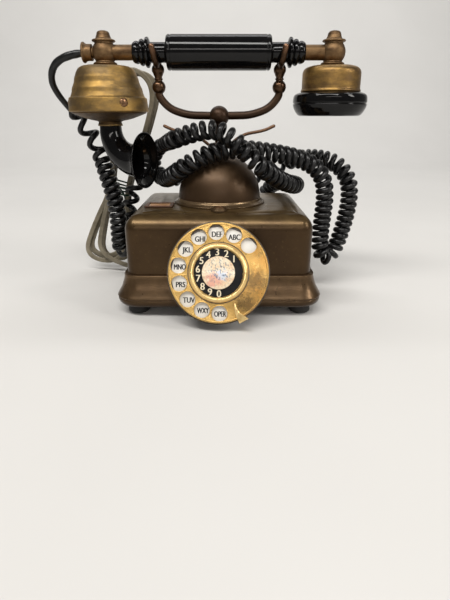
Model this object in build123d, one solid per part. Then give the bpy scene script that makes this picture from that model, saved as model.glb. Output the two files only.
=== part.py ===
"""Rotary telephone in the antique cradle style, as an assembly of its separate pieces.

Millimetres, +Z up, +X to the user's right, -Y towards the user. The origin lies on the table,
under the middle of the base.
"""

import os
from math import acos, cos, hypot, pi, radians, sin, sqrt, tan

from build123d import *

# Clearances
run_gap = 0.05
fit_gap = 0.3

# Base
foot_radius = 9.0
foot_height = 8.5
foot_pitch_x = 136.0
foot_pitch_y = 112.0
body_width = 150.0
body_depth = 130.0
body_corner = 9.5
body_edge_round = 9.0
body_wall = 2.5
body_top = 82.8
panel_inset = 11.5
panel_raise = 0.6
plinth_top = 36.5
plinth_flare = 9.4
plinth_ledge = 3.0
plinth_band = 2.0
plinth_roll = 6.0
base_plate_thick = 2.0
plate_frame_width = 24.0
plate_frame_depth = 20.0
plate_frame_rim = 3.2
plate_frame_thick = 1.4
plate_frame_gap = 0.6

# Dome and stem collar
flange_radius = 40.2
flange_thick = 3.2
lug_radius = 6.5
dome_radius = 37.25
dome_skirt = 1.5
dome_wall = 2.0
dome_flat_radius = 9.0
collar_radius = 6.5
collar_height = 9.4
cord_rest_radius = 1.2
cord_rest_reach = 46.5

# Cradle
stem_radius = 3.75
stem_foot = 54.0
hub_radius = 8.4
hub_rise = 30.4
arm_radius = 3.2
fork_spread = 99.6
fork_lean = 2.6
urn_radius = 5.6
prong_radius = 2.4
prong_reach = 14.0

# Handset
handset_rise = 48.0
grip_radius = 13.2
grip_length = 84.0
neck_radius = 7.5
tube_radius = 5.75
tube_wall = 1.75
ball_spread = 184.8
ball_radius = 9.7
ball_waist_cut = 2.3
capsule_drop = 9.8
transmitter_radius = 32.9
transmitter_height = 34.8
shell_wall = 1.6
receiver_radius = 23.7
receiver_height = 19.4
ear_cap_radius = 30.5
ear_cap_height = 18.6
horn_throat_radius = 9.0
horn_mouth_radius = 24.5
horn_wall = 1.8
horn_drop = 28.4
horn_reach = 31.2
horn_turn = -20.0

# Dial
dial_tilt = 20.0
dial_stand_off = 25.0
dial_height = 44.5
dial_radius = 38.0
wheel_thick = 1.6
finger_hole_radius = 6.0
finger_hole_circle = 31.2
finger_hole_first = 42.0
finger_hole_step = 25.5
finger_hole_count = 10
bezel_outer = 22.8
bezel_inner = 18.6
bezel_height = 3.0
centre_card_radius = 12.5
card_thick = 0.8
letter_gap = 2.2
letter_plate_thick = 0.7
cup_wall = 2.0
cup_throat = 26.0
shelf_thick = 2.0
dial_shaft_radius = 3.0
gear_module = 0.7
main_teeth = 44
pulse_teeth = 12
governor_teeth = 10
gear_thick = 2.0
gear_depth = 9.0
frame_depth = 16.0
frame_thick = 1.5
post_radius = 1.8
pivot_radius = 1.2
stop_angle = -62.0

# Inside the base
bracket_half_span = 16.0
bracket_height = 57.5
sheet_thick = 2.0
lever_pivot_x = 22.0
lever_pivot_drop = 4.0
roller_radius = 2.0
gong_radius = 20.0
gong_spread = 60.0
gong_seat = 40.5
ringer_y = 36.0
clapper_length = 22.0
inner_gap = 6.0
board_length = 38.0
board_depth = 18.0
coil_core_length = 28.0
can_length = 30.0
can_inset = 3.0
grommet_spread = 80.0
grommet_height = 56.0
grommet_length = 20.0

# Cords
lead_radius = 2.6
wire_radius = 2.2
curl_radius = 5.3
curl_pitch = 16.0
curl_pitch_hidden = 34.0
line_cord_width = 4.8
line_cord_thick = 2.6
hank_loops = 5
hank_step = 3.8

# Levels and places worked out from the sizes above
half_width = body_width / 2
half_depth = body_depth / 2
floor_top = foot_height + base_plate_thick
dome_base = body_top + flange_thick
dome_centre = dome_base + dome_skirt
dome_top = dome_centre + sqrt(dome_radius**2 - dome_flat_radius**2)
hub_z = dome_top + hub_rise
handset_z = hub_z + handset_rise
fork_x = fork_spread / 2
ball_x = ball_spread / 2
ball_waist = ball_radius - ball_waist_cut
ball_rise = sqrt(ball_radius**2 - ball_waist**2)
finial_seat = ball_rise + 1.3
urn_z = hub_z + handset_rise - neck_radius - 17.9
transmitter_top = handset_z - capsule_drop
transmitter_rim = transmitter_top - transmitter_height
horn_top = transmitter_rim - 10.0
ear_cap_top = transmitter_top - receiver_height
dial_plane = Plane(
    origin=(0, -half_depth - dial_stand_off, dial_height),
    x_dir=(1, 0, 0),
    z_dir=(0, -cos(radians(dial_tilt)), sin(radians(dial_tilt))),
)
letter_face = -wheel_thick - letter_gap
shelf_top = letter_face - letter_plate_thick
shelf_back = shelf_top - shelf_thick
pulse_offset = gear_module * (main_teeth + pulse_teeth) / 2
governor_offset = gear_module * (main_teeth + governor_teeth) / 2
post_circle = gear_module * (main_teeth / 2 + 1) + post_radius + 1.6
post_angles = (35, 145, 215, 325)
guide_z = floor_top + bracket_height
lever_z = stem_foot - fit_gap - roller_radius


def outline(*steps):
    """A closed face: each step is (x, y), or (x, y, bulge) where an arc leads to it that
    bulges by so much to the right of the way travelled."""
    edges = []
    for here, there in zip(steps, steps[1:] + steps[:1]):
        if len(there) == 3:
            edges.append(SagittaArc(here[:2], there[:2], -there[2]))
        else:
            edges.append(Line(here[:2], there[:2]))
    return make_face(edges)


def turned(*steps):
    """A solid of revolution about Z from an outline of (radius, height) steps."""
    return revolve(Plane.XZ * outline(*steps), Axis.Z)


def along_x(shape):
    """A shape turned about Z, laid with its axis along +X."""
    return Rot(0, 90, 0) * shape


def along_y(shape):
    """A shape turned about Z, laid with its axis along +Y."""
    return Rot(-90, 0, 0) * shape


def rod(radius, *points, bends=()):
    """A round rod along straight runs joined by arcs of the given radii."""
    if bends:
        path = FilletPolyline(*points, radius=bends)
    else:
        path = Line(*points)
    section = Plane(origin=path @ 0, z_dir=path % 0) * Circle(radius)
    return sweep(section, path=path)


def slab(width, depth, corner, bottom, top):
    """An upright block with rounded vertical corners, centred on Z."""
    return Pos(0, 0, bottom) * extrude(RectangleRounded(width, depth, corner), top - bottom)


def post(x, y, radius, bottom, top):
    """An upright round post or, when cut away, a hole."""
    return Pos(x, y, (bottom + top) / 2) * Cylinder(radius, top - bottom)


def block(x, y, z):
    """A plain box between two limits on each axis."""
    size = [high - low for low, high in (x, y, z)]
    middle = [(high + low) / 2 for low, high in (x, y, z)]
    return Pos(*middle) * Box(*size)


# Base


def plinth():
    """Flared ogee skirt, carried round the rounded plan of the body."""
    path = FilletPolyline(
        (-half_width, -half_depth),
        (half_width, -half_depth),
        (half_width, half_depth),
        (-half_width, half_depth),
        radius=body_corner,
        close=True,
    )
    ahead = path % 0
    start = Plane(origin=path @ 0, x_dir=Vector(0, 0, 1).cross(ahead), z_dir=ahead)
    crest = foot_height + plinth_roll
    profile = outline(
        (body_wall, foot_height),
        (body_wall, plinth_top),
        (-plinth_ledge, plinth_top),
        (-plinth_ledge, plinth_top - 2.0),
        (-plinth_flare, crest + plinth_band, -0.9),
        (-plinth_flare, crest),
        (4.5 - plinth_flare, foot_height, 1.4),
    )
    return sweep(start * profile, path=path)


def housing():
    """Cast case, open below, with a slightly raised top panel and holes for stem and wires."""
    shoulder = body_top - panel_raise
    edge = min(body_edge_round, 0.95 * body_corner)
    case = slab(body_width, body_depth, body_corner, plinth_top, shoulder)
    case = fillet(case.faces().sort_by(Axis.Z)[-1].edges(), edge)
    hollow = slab(
        body_width - 2 * body_wall,
        body_depth - 2 * body_wall,
        body_corner - body_wall,
        plinth_top,
        shoulder - body_wall,
    )
    hollow = fillet(hollow.faces().sort_by(Axis.Z)[-1].edges(), 0.95 * (edge - body_wall))
    panel = slab(
        body_width - 2 * panel_inset,
        body_depth - 2 * panel_inset,
        body_corner,
        shoulder - body_wall / 2,
        body_top,
    )
    case = case - hollow + panel
    case -= post(0, 0, stem_radius + 4, shoulder - 2 * body_wall, body_top + 1)
    wire_hole = Pos(0, -half_depth, dial_axis_on_wall()) * along_y(Cylinder(8, 4 * body_wall))
    case -= wire_hole
    for side in (-1, 1):
        hole = along_y(Cylinder(grommet_hole(), 4 * body_wall))
        case -= Pos(side * grommet_spread / 2, half_depth, grommet_height) * hole
    return case


def dial_axis_on_wall():
    """The height at which the dial's axis meets the front wall."""
    return dial_height - dial_stand_off * tan(radians(dial_tilt))


def grommet_hole():
    return lead_radius + 2.4


def base_plate():
    """Bottom plate with slots that let the bell be heard."""
    inset = 2 * body_wall + 2 * fit_gap
    plate = slab(
        body_width - inset, body_depth - inset, body_corner - body_wall, foot_height, floor_top
    )
    for row in range(5):
        slot = extrude(SlotOverall(44, 3.2), 3 * base_plate_thick)
        plate -= Pos(0, -34 + 7 * row, foot_height - base_plate_thick) * slot
    return plate


def feet():
    foot = turned(
        (0, 0),
        (foot_radius - 1.4, 0),
        (foot_radius, 1.4, 0.4),
        (foot_radius - 1.2, foot_height),
        (0, foot_height),
    )
    return [
        Pos(x * foot_pitch_x / 2, y * foot_pitch_y / 2, 0) * foot
        for x in (-1, 1)
        for y in (-1, 1)
    ]


def name_plate():
    """Bare plate in a raised frame, on the left of the top panel."""
    frame = slab(plate_frame_width, plate_frame_depth, 1.5, 0, plate_frame_thick)
    frame = chamfer(frame.faces().sort_by(Axis.Z)[-1].edges(), 0.5)
    pocket = slab(
        plate_frame_width - 2 * plate_frame_rim,
        plate_frame_depth - 2 * plate_frame_rim,
        0.8,
        plate_frame_thick - 0.6,
        plate_frame_thick + 1,
    )
    middle = -half_width + panel_inset + plate_frame_gap + plate_frame_width / 2
    inner = middle + plate_frame_width / 2
    rear = sqrt(max(0.0, (flange_radius + plate_frame_gap) ** 2 - inner**2))
    front = max(rear, lug_radius) + plate_frame_depth / 2
    return Pos(middle, -front, body_top) * (frame - pocket)


# Dome and stem collar


def dome_flange():
    flange = turned(
        (stem_radius + 4, body_top),
        (flange_radius, body_top),
        (flange_radius, body_top + 1.0),
        (flange_radius - 2.2, body_top + 1.4),
        (flange_radius - 3.4, dome_base, -0.3),
        (stem_radius + 4, dome_base),
    )
    for side in (-1, 1):
        lug = flange_radius + lug_radius - 0.5
        flange += post(0, side * lug, lug_radius, body_top, body_top + 2.0)
        y = sorted((side * lug, side * (flange_radius - lug_radius)))
        flange += block((-lug_radius, lug_radius), y, (body_top, body_top + 2.0))
    return flange


def dome():
    """Spun half sphere on a short skirt, with a flat top for the collar."""
    inner = dome_radius - dome_wall
    hole = collar_radius - 1.5
    inner_top = dome_top - dome_wall
    flat = sqrt(inner**2 - (inner_top - dome_centre) ** 2)
    sag = arc_sag(dome_radius, hypot(dome_radius - dome_flat_radius, dome_top - dome_centre))
    inner_sag = arc_sag(inner, hypot(inner - flat, inner_top - dome_centre))
    return turned(
        (inner, dome_base),
        (dome_radius, dome_base),
        (dome_radius, dome_centre),
        (dome_flat_radius, dome_top, sag),
        (hole, dome_top),
        (hole, inner_top),
        (flat, inner_top),
        (inner, dome_centre, -inner_sag),
    )


def arc_sag(radius, chord):
    """How far an arc of this radius stands off its chord."""
    return radius - sqrt(radius**2 - chord**2 / 4)


def stem_collar():
    """Bush that guides the stem, with the two thin cord rests brazed to it."""
    top = dome_top + collar_height
    spigot = collar_radius - 1.5 - run_gap
    collar = turned(
        (stem_radius + run_gap, dome_top - 6),
        (spigot, dome_top - 6),
        (spigot, dome_top),
        (collar_radius + 2.0, dome_top),
        (collar_radius + 2.0, dome_top + 1.6),
        (collar_radius, dome_top + 2.6, -0.3),
        (collar_radius, top - 1.0),
        (collar_radius - 1.0, top, 0.3),
        (stem_radius + run_gap, top),
    )
    root = dome_top + 4.4
    reach = cord_rest_reach
    for side in (-1, 1):
        collar += rod(
            cord_rest_radius,
            (side * (stem_radius + 1.4), 0, root),
            (side * reach * 0.42, 0, root + 11.6),
            (side * reach * 0.82, 0, root + 14.6),
            (side * reach, 0, root + 18.4),
            bends=(16.0, 12.0),
        )
        tip = Pos(side * reach, 0, root + 18.4)
        collar += tip * Sphere(cord_rest_radius)
    return collar


# Cradle


def cradle_stem():
    neck = hub_z - hub_radius + 1.3
    return turned(
        (0, stem_foot),
        (stem_radius - 0.8, stem_foot),
        (stem_radius, stem_foot + 0.8),
        (stem_radius, neck),
        (stem_radius - 0.8, neck),
        (stem_radius - 0.8, hub_z - 2.0),
        (0, hub_z - 2.0),
    )


def cradle_hub():
    """Ball with sockets for the stem and both arms."""
    neck = hub_z - hub_radius + 1.3
    hub = Pos(0, 0, hub_z) * Sphere(hub_radius)
    hub -= post(0, 0, hub_radius, neck - hub_radius, neck)
    hub -= post(0, 0, stem_radius - 0.8 + run_gap, neck - 1, hub_z - 1.8)
    for side in (-1, 1):
        socket = along_x(Cylinder(arm_radius + run_gap, hub_radius))
        hub -= Pos(side * (4.0 + hub_radius / 2), 0, hub_z + 0.5) * socket
    return hub


def cradle_arm(side):
    """Rod that sweeps out from the hub and up into the urn ball of a fork."""
    bar_z = hub_z + 0.5
    return rod(
        arm_radius,
        (side * 4.2, 0, bar_z),
        (side * 0.52 * fork_x, 0, bar_z + 0.4),
        (side * (fork_x - 8.6), 0, bar_z + 5.2),
        (side * fork_x, 0, bar_z + 0.66 * (urn_z - bar_z)),
        (side * fork_x, 0, urn_z - 2.4),
        bends=(34.0, 14.0, 7.0),
    )


def cradle_fork():
    """Ball, thin ring and vase that carries the two prongs of the rest."""
    seat = handset_z - neck_radius - fit_gap - prong_radius
    shank = turned(
        (0, urn_z - urn_radius),
        (0.6, urn_z - urn_radius),
        (urn_radius, urn_z, arc_sag(urn_radius, urn_radius * 1.3) + 0.2),
        (0.57 * urn_radius, urn_z + 0.82 * urn_radius, 0.6),
        (2.9, urn_z + urn_radius - 0.4),
        (3.5, urn_z + urn_radius),
        (3.5, urn_z + urn_radius + 0.8),
        (2.9, urn_z + urn_radius + 1.3),
        (5.1, seat - 1.0, -0.7),
        (4.6, seat + 1.6, 0.3),
        (0, seat + 2.0),
    )
    shank -= post(0, 0, arm_radius + run_gap, urn_z - 2 * urn_radius, urn_z - 2.2)
    tip_z = handset_z + 6.0
    tips = [(-fork_lean, y * prong_reach, tip_z) for y in (-1, 1)]
    shoulder = neck_radius + 3.0
    yoke = rod(
        prong_radius,
        tips[0],
        (0, -shoulder, seat),
        (0, shoulder, seat),
        tips[1],
        bends=(8.0, 8.0),
    )
    fork = shank + yoke
    for tip in tips:
        fork += Pos(*tip) * Sphere(prong_radius)
    return Pos(-fork_x, 0, 0) * fork


# Handset


def handle_grip():
    """Turned grip with slim necks and stepped collars, the same at both ends."""
    bore = tube_radius + run_gap
    end = grip_length / 2
    half = turned(
        (bore, 0),
        (grip_radius, 0),
        (grip_radius, end - 3.6),
        (grip_radius - 0.4, end - 3.3),
        (grip_radius - 0.4, end - 2.6),
        (grip_radius, end - 2.3),
        (grip_radius, end - 1.0),
        (grip_radius - 1.0, end, 0.3),
        (neck_radius, end + 0.6),
        (neck_radius, end + 13.6),
        (neck_radius + 3.4, end + 14.4),
        (neck_radius + 3.4, end + 16.8, 0.5),
        (neck_radius + 0.9, end + 17.8),
        (neck_radius + 2.0, end + 18.6),
        (neck_radius + 2.0, end + 21.2, 0.5),
        (neck_radius + 0.1, end + 22.2),
        (neck_radius + 0.6, end + 23.0),
        (neck_radius + 0.6, end + 25.6, 0.4),
        (neck_radius - 0.5, end + 27.4),
        (bore, end + 27.4),
    )
    half = along_x(half)
    return Pos(0, 0, handset_z) * (half + mirror(half, about=Plane.YZ))


def handle_tube():
    end = ball_x - 6.4
    tube = turned(
        (tube_radius - tube_wall, -end),
        (tube_radius, -end),
        (tube_radius, end),
        (tube_radius - tube_wall, end),
    )
    return Pos(0, 0, handset_z) * along_x(tube)


def ball_fitting(side):
    """Barrel ball that joins the tube to a capsule; the left one also takes the cord."""
    bore = 3.2
    ball = turned(
        (bore, -capsule_drop),
        (8.2, -capsule_drop),
        (8.2, -capsule_drop + 0.8),
        (9.4, -capsule_drop + 1.0),
        (9.4, -capsule_drop + 2.2, 0.3),
        (ball_waist, -ball_rise - 0.6),
        (ball_waist, -ball_rise),
        (ball_waist, ball_rise, ball_radius - ball_waist),
        (ball_waist, finial_seat),
        (bore, finial_seat),
    )
    mouth = ball_radius + 4
    socket = along_x(Cylinder(tube_radius + run_gap, mouth - 6.2))
    ball -= Pos(-side * (mouth + 6.2) / 2, 0, 0) * socket
    if side < 0:
        cord_hole = along_x(Cylinder(ferrule_spigot() + run_gap, mouth - 5.0))
        ball -= Pos(-(mouth + 5.0) / 2, 0, 0) * cord_hole
    return Pos(side * ball_x, 0, handset_z) * ball


def ferrule_spigot():
    return lead_radius + 1.4


def finial():
    """Flanged bell-shaped nut with a rounded top."""
    return turned(
        (0, finial_seat),
        (9.2, finial_seat),
        (9.2, finial_seat + 1.4, 0.3),
        (6.4, finial_seat + 2.1),
        (4.9, finial_seat + 6.2, -0.3),
        (2.4, finial_seat + 8.0, 0.5),
        (0, finial_seat + 8.0),
    )


def finials():
    return [Pos(side * ball_x, 0, handset_z) * finial() for side in (-1, 1)]


def cord_ferrule():
    """Trumpet-lipped sleeve where the cord enters the left ball."""
    bore = lead_radius + 0.2
    spigot = ferrule_spigot()
    sleeve = turned(
        (bore, 5.2),
        (spigot, 5.2),
        (spigot, ball_radius),
        (spigot + 2.2, ball_radius + 0.2),
        (spigot + 2.2, ball_radius + 5.2),
        (spigot + 3.8, ball_radius + 6.3, -0.2),
        (spigot + 3.8, ball_radius + 7.9, 0.2),
        (bore, ball_radius + 7.9),
    )
    return Pos(-ball_x, 0, handset_z) * Rot(0, -90, 0) * sleeve


def transmitter_shell():
    """Spun bell with two rolled beads and a plain band at the rim."""
    r = transmitter_radius
    top = transmitter_height
    shell = turned(
        (r - shell_wall, 0),
        (r, 0),
        (r - 1.0, 0.3 * top),
        (r - 2.5, 0.33 * top),
        (r - 4.6, 0.49 * top, -0.4),
        (r - 5.0, 0.54 * top, 0.3),
        (r - 7.2, 0.73 * top, -0.4),
        (r - 7.6, 0.78 * top, 0.3),
        (r - 10.2, 0.93 * top, 0.5),
        (r - 15.4, top, 0.7),
        (3.2, top),
        (3.2, top - shell_wall),
        (r - 15.9, top - shell_wall),
        (r - 10.6, 0.8 * top, -0.6),
        (r - 4.6, 0.31 * top),
        (r - shell_wall, 0.24 * top),
    )
    return Pos(-ball_x, 0, transmitter_rim) * shell


def transmitter_base():
    """Dished cover inside the rim, drawn down to the neck that the horn screws on."""
    plug = transmitter_radius - shell_wall - fit_gap
    throat = horn_throat_radius - horn_wall
    cover = turned(
        (throat, -10.0),
        (horn_throat_radius + 0.8, -10.0),
        (horn_throat_radius + 0.8, -8.0, 0.4),
        (horn_throat_radius, -7.4),
        (horn_throat_radius + 2.6, -6.0),
        (horn_throat_radius + 4.0, -5.6),
        (plug - 6.5, -2.4, 0.5),
        (plug, -0.9),
        (plug, 2.0),
        (plug - 4.6, 2.0),
        (plug - 4.6, 0.4),
        (throat, 0.4),
    )
    return Pos(-ball_x, 0, transmitter_rim) * cover


def transmitter_capsule():
    radius = transmitter_radius - shell_wall - 5.2
    disc = turned(
        (0, 0.4),
        (radius, 0.4),
        (radius, 5.0),
        (radius - 5.0, 9.0),
        (0, 9.0),
    )
    return Pos(-ball_x, 0, transmitter_rim) * disc


def horn_body(shrink, overrun):
    """Loft through circles that grow along the bend: down, round and out of the mouth."""
    bend = horn_drop - 4.4
    stations = [((0, horn_drop + overrun), 0, horn_throat_radius)]
    stations.append(((0, bend), 0, horn_throat_radius + 0.2))
    for angle, radius in ((30, 10.2), (60, 12.0), (90, 14.6)):
        place = (bend * (1 - cos(radians(angle))), bend * (1 - sin(radians(angle))))
        stations.append((place, angle, radius))
    flare = horn_reach - bend
    stations.append(((bend + 0.6 * flare, 0), 90, 19.0))
    stations.append(((horn_reach + overrun, 0), 90, horn_mouth_radius))
    sections = []
    for (out, up), angle, radius in stations:
        facing = (sin(radians(angle)), 0, -cos(radians(angle)))
        plane = Plane(origin=(out, 0, up), x_dir=(0, 1, 0), z_dir=facing)
        sections.append(plane * Circle(radius - shrink))
    return loft(sections)


def horn():
    """Mouthpiece horn: a hollow elbow that flares to the mouth, turned towards the user."""
    shell = horn_body(0, 0) - horn_body(horn_wall, 0.01)
    return Pos(-ball_x, 0, horn_top - horn_drop) * Rot(0, 0, horn_turn) * shell


def receiver_cup():
    r = receiver_radius
    top = receiver_height
    shell = turned(
        (r - shell_wall, 0),
        (r + 0.6, 0),
        (r + 0.6, 1.2, 0.3),
        (r, 2.0),
        (r, 0.7 * top),
        (r - 2.4, 0.91 * top, 0.9),
        (r - 7.2, top, 0.4),
        (3.2, top),
        (3.2, top - shell_wall),
        (r - 7.6, top - shell_wall),
        (r - 3.9, 0.82 * top, -0.5),
        (r - shell_wall, 0.6 * top, -0.4),
    )
    return Pos(ball_x, 0, ear_cap_top) * shell


def ear_cap():
    """Screwed listening cap with a dished face, sound holes and a parting groove."""
    r = ear_cap_radius
    h = ear_cap_height
    mouth = receiver_radius - shell_wall - 0.2
    cap = turned(
        (0, 2.6 - h),
        (r - 9.0, 0.4 - h, 0.5),
        (r - 6.0, -h),
        (r - 2.6, 3.2 - h, 0.5),
        (r, 9.2 - h, 0.4),
        (r - 0.5, 9.5 - h),
        (r - 0.5, 10.1 - h),
        (r, 10.4 - h),
        (r - 0.3, -4.0, 0.1),
        (r - 2.9, -1.2, 0.6),
        (r - 6.6, 0),
        (mouth, 0),
        (mouth, 5.8 - h),
        (0, 5.8 - h),
    )
    for angle in range(0, 360, 60):
        spot = Rot(0, 0, angle) * Pos(8, 0, 0)
        cap -= spot * post(0, 0, 1.5, -h - 1, 7 - h)
    cap -= post(0, 0, 1.5, -h - 1, 7 - h)
    return Pos(ball_x, 0, ear_cap_top) * cap


def receiver_capsule():
    radius = receiver_radius - shell_wall - 0.2 - fit_gap
    floor = 5.8 - ear_cap_height
    disc = turned((0, floor), (radius, floor), (radius, -4.0), (radius - 4, -1.5), (0, -1.5))
    return Pos(ball_x, 0, ear_cap_top) * disc


# Dial, in its own plane: x right, y up the face, z out of the front of the wheel


def finger_wheel():
    r = dial_radius
    wheel = turned(
        (dial_shaft_radius + run_gap, -wheel_thick),
        (r - 0.6, -wheel_thick),
        (r, -wheel_thick / 2, 0.2),
        (r - 0.6, 0, 0.2),
        (dial_shaft_radius + run_gap, 0),
    )
    for hole in range(finger_hole_count):
        turn = Rot(0, 0, finger_hole_first + finger_hole_step * hole)
        wheel -= turn * post(finger_hole_circle, 0, finger_hole_radius, -2 * wheel_thick, 1)
    return wheel


def card_ring():
    return turned(
        (bezel_inner, 0),
        (bezel_outer, 0),
        (bezel_outer - 0.5, 0.6 * bezel_height, 0.3),
        (bezel_outer - 2.2, bezel_height, 0.4),
        (bezel_inner + 0.5, 0.9 * bezel_height, 0.2),
        (bezel_inner, 0.4 * bezel_height),
    )


def number_card():
    return post(0, 0, bezel_inner - fit_gap / 2, 0, card_thick)


def centre_card():
    r = centre_card_radius
    top = card_thick + 0.6
    return turned((0, card_thick), (r, card_thick), (r, top - 0.3), (r - 0.3, top), (0, top))


def letter_plate():
    ring = post(0, 0, dial_radius - cup_wall / 2 - fit_gap, shelf_top, letter_face)
    return ring - post(0, 0, dial_shaft_radius + 5, shelf_top - 1, letter_face + 1)


def dial_cup():
    """Bowl that stands the dial off the front wall; its shelf carries the letter plate."""
    r = dial_radius + 1.2
    bowl = turned(
        (dial_shaft_radius + run_gap, shelf_back),
        (r - cup_wall, shelf_back),
        (cup_throat - cup_wall, shelf_back - 13.4),
        (cup_throat - cup_wall, -60),
        (cup_throat, -60),
        (cup_throat, shelf_back - 14.4),
        (r, shelf_back - 0.9, 0.8),
        (r, letter_face + 1.4),
        (r - cup_wall + 0.3, letter_face + 1.4),
        (r - cup_wall + 0.3, shelf_top),
        (dial_shaft_radius + run_gap, shelf_top),
    )
    for x, y in ((0, -pulse_offset), (-governor_offset, 0)):
        bowl -= post(x, y, pivot_radius + run_gap, shelf_back - 1, shelf_top + 1)
    bowl = dial_plane * bowl
    reach = body_width
    front = -half_depth
    bowl -= block((-reach, reach), (front, reach), (-reach, reach))
    skirt = front - plinth_flare - fit_gap
    bowl -= block((-reach, reach), (skirt, reach), (-reach, plinth_top + fit_gap))
    return bowl.solids().sort_by(SortBy.VOLUME)[-1]


def finger_stop():
    """Bent hook fixed to the cup's side, its horn lying over the wheel."""
    foot_r = dial_radius + 1.2 + fit_gap
    low, high = bezel_height * 0.3, bezel_height * 0.7
    horn_face = outline(
        (foot_r - 14, -0.7),
        (foot_r + 1.5, -3.4, -1.0),
        (foot_r + 1.5, 3.4),
        (foot_r - 3.0, 3.4),
        (foot_r - 14, 0.7, 1.2),
    )
    hook = Pos(0, 0, low) * extrude(horn_face, high - low)
    hook += block((foot_r, foot_r + 1.5), (-3.4, 3.4), (shelf_back - 1.0, high))
    return Rot(0, 0, stop_angle) * hook


def gear(teeth, bore):
    """Spur gear with straight-sided teeth set out from the involute, thinned for backlash."""
    pitch_r = gear_module * teeth / 2
    base_r = pitch_r * cos(radians(20))

    def half_angle(radius):
        slope = acos(min(1, base_r / radius))
        roll = tan(slope) - slope
        return 0.44 * pi / teeth + tan(radians(20)) - radians(20) - roll

    flank = (pitch_r - 1.2 * gear_module, pitch_r, pitch_r + 0.85 * gear_module)
    points = []
    for tooth in range(teeth):
        middle = 2 * pi * tooth / teeth
        spots = [(radius, middle - half_angle(radius)) for radius in flank]
        spots += [(radius, middle + half_angle(radius)) for radius in reversed(flank)]
        points += [(radius * cos(turn), radius * sin(turn)) for radius, turn in spots]
    blank = extrude(make_face(Polyline(*points, close=True)), gear_thick)
    return Pos(0, 0, -gear_depth - gear_thick) * (blank - Cylinder(bore, 4 * gear_thick))


def dial_shaft():
    r = dial_shaft_radius
    collar = shelf_back - fit_gap
    return turned(
        (0, -frame_depth - frame_thick),
        (r, -frame_depth - frame_thick),
        (r, -gear_depth),
        (r + 1.8, -gear_depth),
        (r + 1.8, collar),
        (r, collar),
        (r, -0.1),
        (0, -0.1),
    )


def main_gear():
    wheel = gear(main_teeth, dial_shaft_radius + run_gap)
    for angle in range(0, 360, 60):
        spot = Rot(0, 0, angle) * Pos(gear_module * main_teeth * 0.31, 0, -gear_depth)
        wheel -= spot * Cylinder(3.0, 4 * gear_thick)
    return wheel


def return_spring():
    """Flat spiral spring round the shaft, its outer end led to a post of the frame."""
    width = 0.6
    radius = dial_shaft_radius + 1.4
    step = 0.9
    edges = []
    x = radius
    for half_turn in range(8):
        middle = x - radius if half_turn % 2 == 0 else x + radius
        edges.append(CenterArc((middle, 0), radius, 180 * (half_turn % 2), 180))
        x = 2 * middle - x
        radius += step / 2
    reach = post_circle - post_radius - width / 2 - fit_gap
    end = (reach * cos(radians(post_angles[0])), reach * sin(radians(post_angles[0])))
    edges.append(Line((x, 0), end))
    strip = extrude(trace(edges, width), frame_depth - gear_depth - gear_thick - 2 * fit_gap)
    return Pos(0, 0, -frame_depth + fit_gap) * strip


def dial_frame():
    """Back plate on four posts, with bearings for the shaft and both pinions."""
    places = [Rot(0, 0, angle) * Pos(post_circle, 0, 0) for angle in post_angles]
    eyes = [(place * Circle(post_radius + 2.2)).edge() for place in places]
    eyes.append((Pos(0, -pulse_offset) * Circle(3.2)).edge())
    plate = Pos(0, 0, -frame_depth - frame_thick) * extrude(make_hull(eyes), frame_thick)
    low, high = -frame_depth - 2 * frame_thick, -frame_depth + frame_thick
    plate -= post(0, 0, dial_shaft_radius + run_gap, low, high)
    for x, y in ((0, -pulse_offset), (-governor_offset, 0)):
        plate -= post(x, y, pivot_radius + run_gap, low, high)
    for place in places:
        plate += place * post(0, 0, post_radius, -frame_depth, shelf_back)
    return plate


def pivot(low):
    return post(0, 0, pivot_radius, low, shelf_top - 0.2)


def pulse_pinion():
    """Pinion on its arbor, with the two-lobed cam that works the pulse contacts."""
    half_tooth = 180 / pulse_teeth
    pinion = Rot(0, 0, half_tooth) * gear(pulse_teeth, pivot_radius / 2)
    cam_back = -frame_depth - frame_thick - fit_gap - 1.8
    pinion += Pos(0, 0, cam_back) * extrude(Ellipse(3.4, 2.2), 1.8)
    pinion += pivot(cam_back)
    return Pos(0, -pulse_offset, 0) * pinion


def governor():
    """Pinion and fly drum that hold the dial's return to a steady speed."""
    half_tooth = 180 / governor_teeth
    pinion = Rot(0, 0, half_tooth) * gear(governor_teeth, pivot_radius / 2)
    drum = post(0, 0, 5.6, -frame_depth + fit_gap, -gear_depth - gear_thick)
    drum -= block((-6, 6), (-0.5, 0.5), (-frame_depth, -frame_depth + 2.2))
    pinion += drum
    pinion += pivot(-frame_depth - frame_thick)
    return Pos(-governor_offset, 0, 0) * pinion


def pulse_contacts():
    """Insulated block with two leaf springs that end beside the cam."""
    back = -frame_depth - frame_thick
    pile = block((5.4, 11.4), (-18.5, -12.5), (back - 3.0, back))
    for leaf in (0.6, 1.9):
        z = back - fit_gap - leaf
        pile += block((4.0, 6.0), (-pulse_offset - 2.0, -13.0), (z - 0.5, z))
    return pile


# Inside the base


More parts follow.
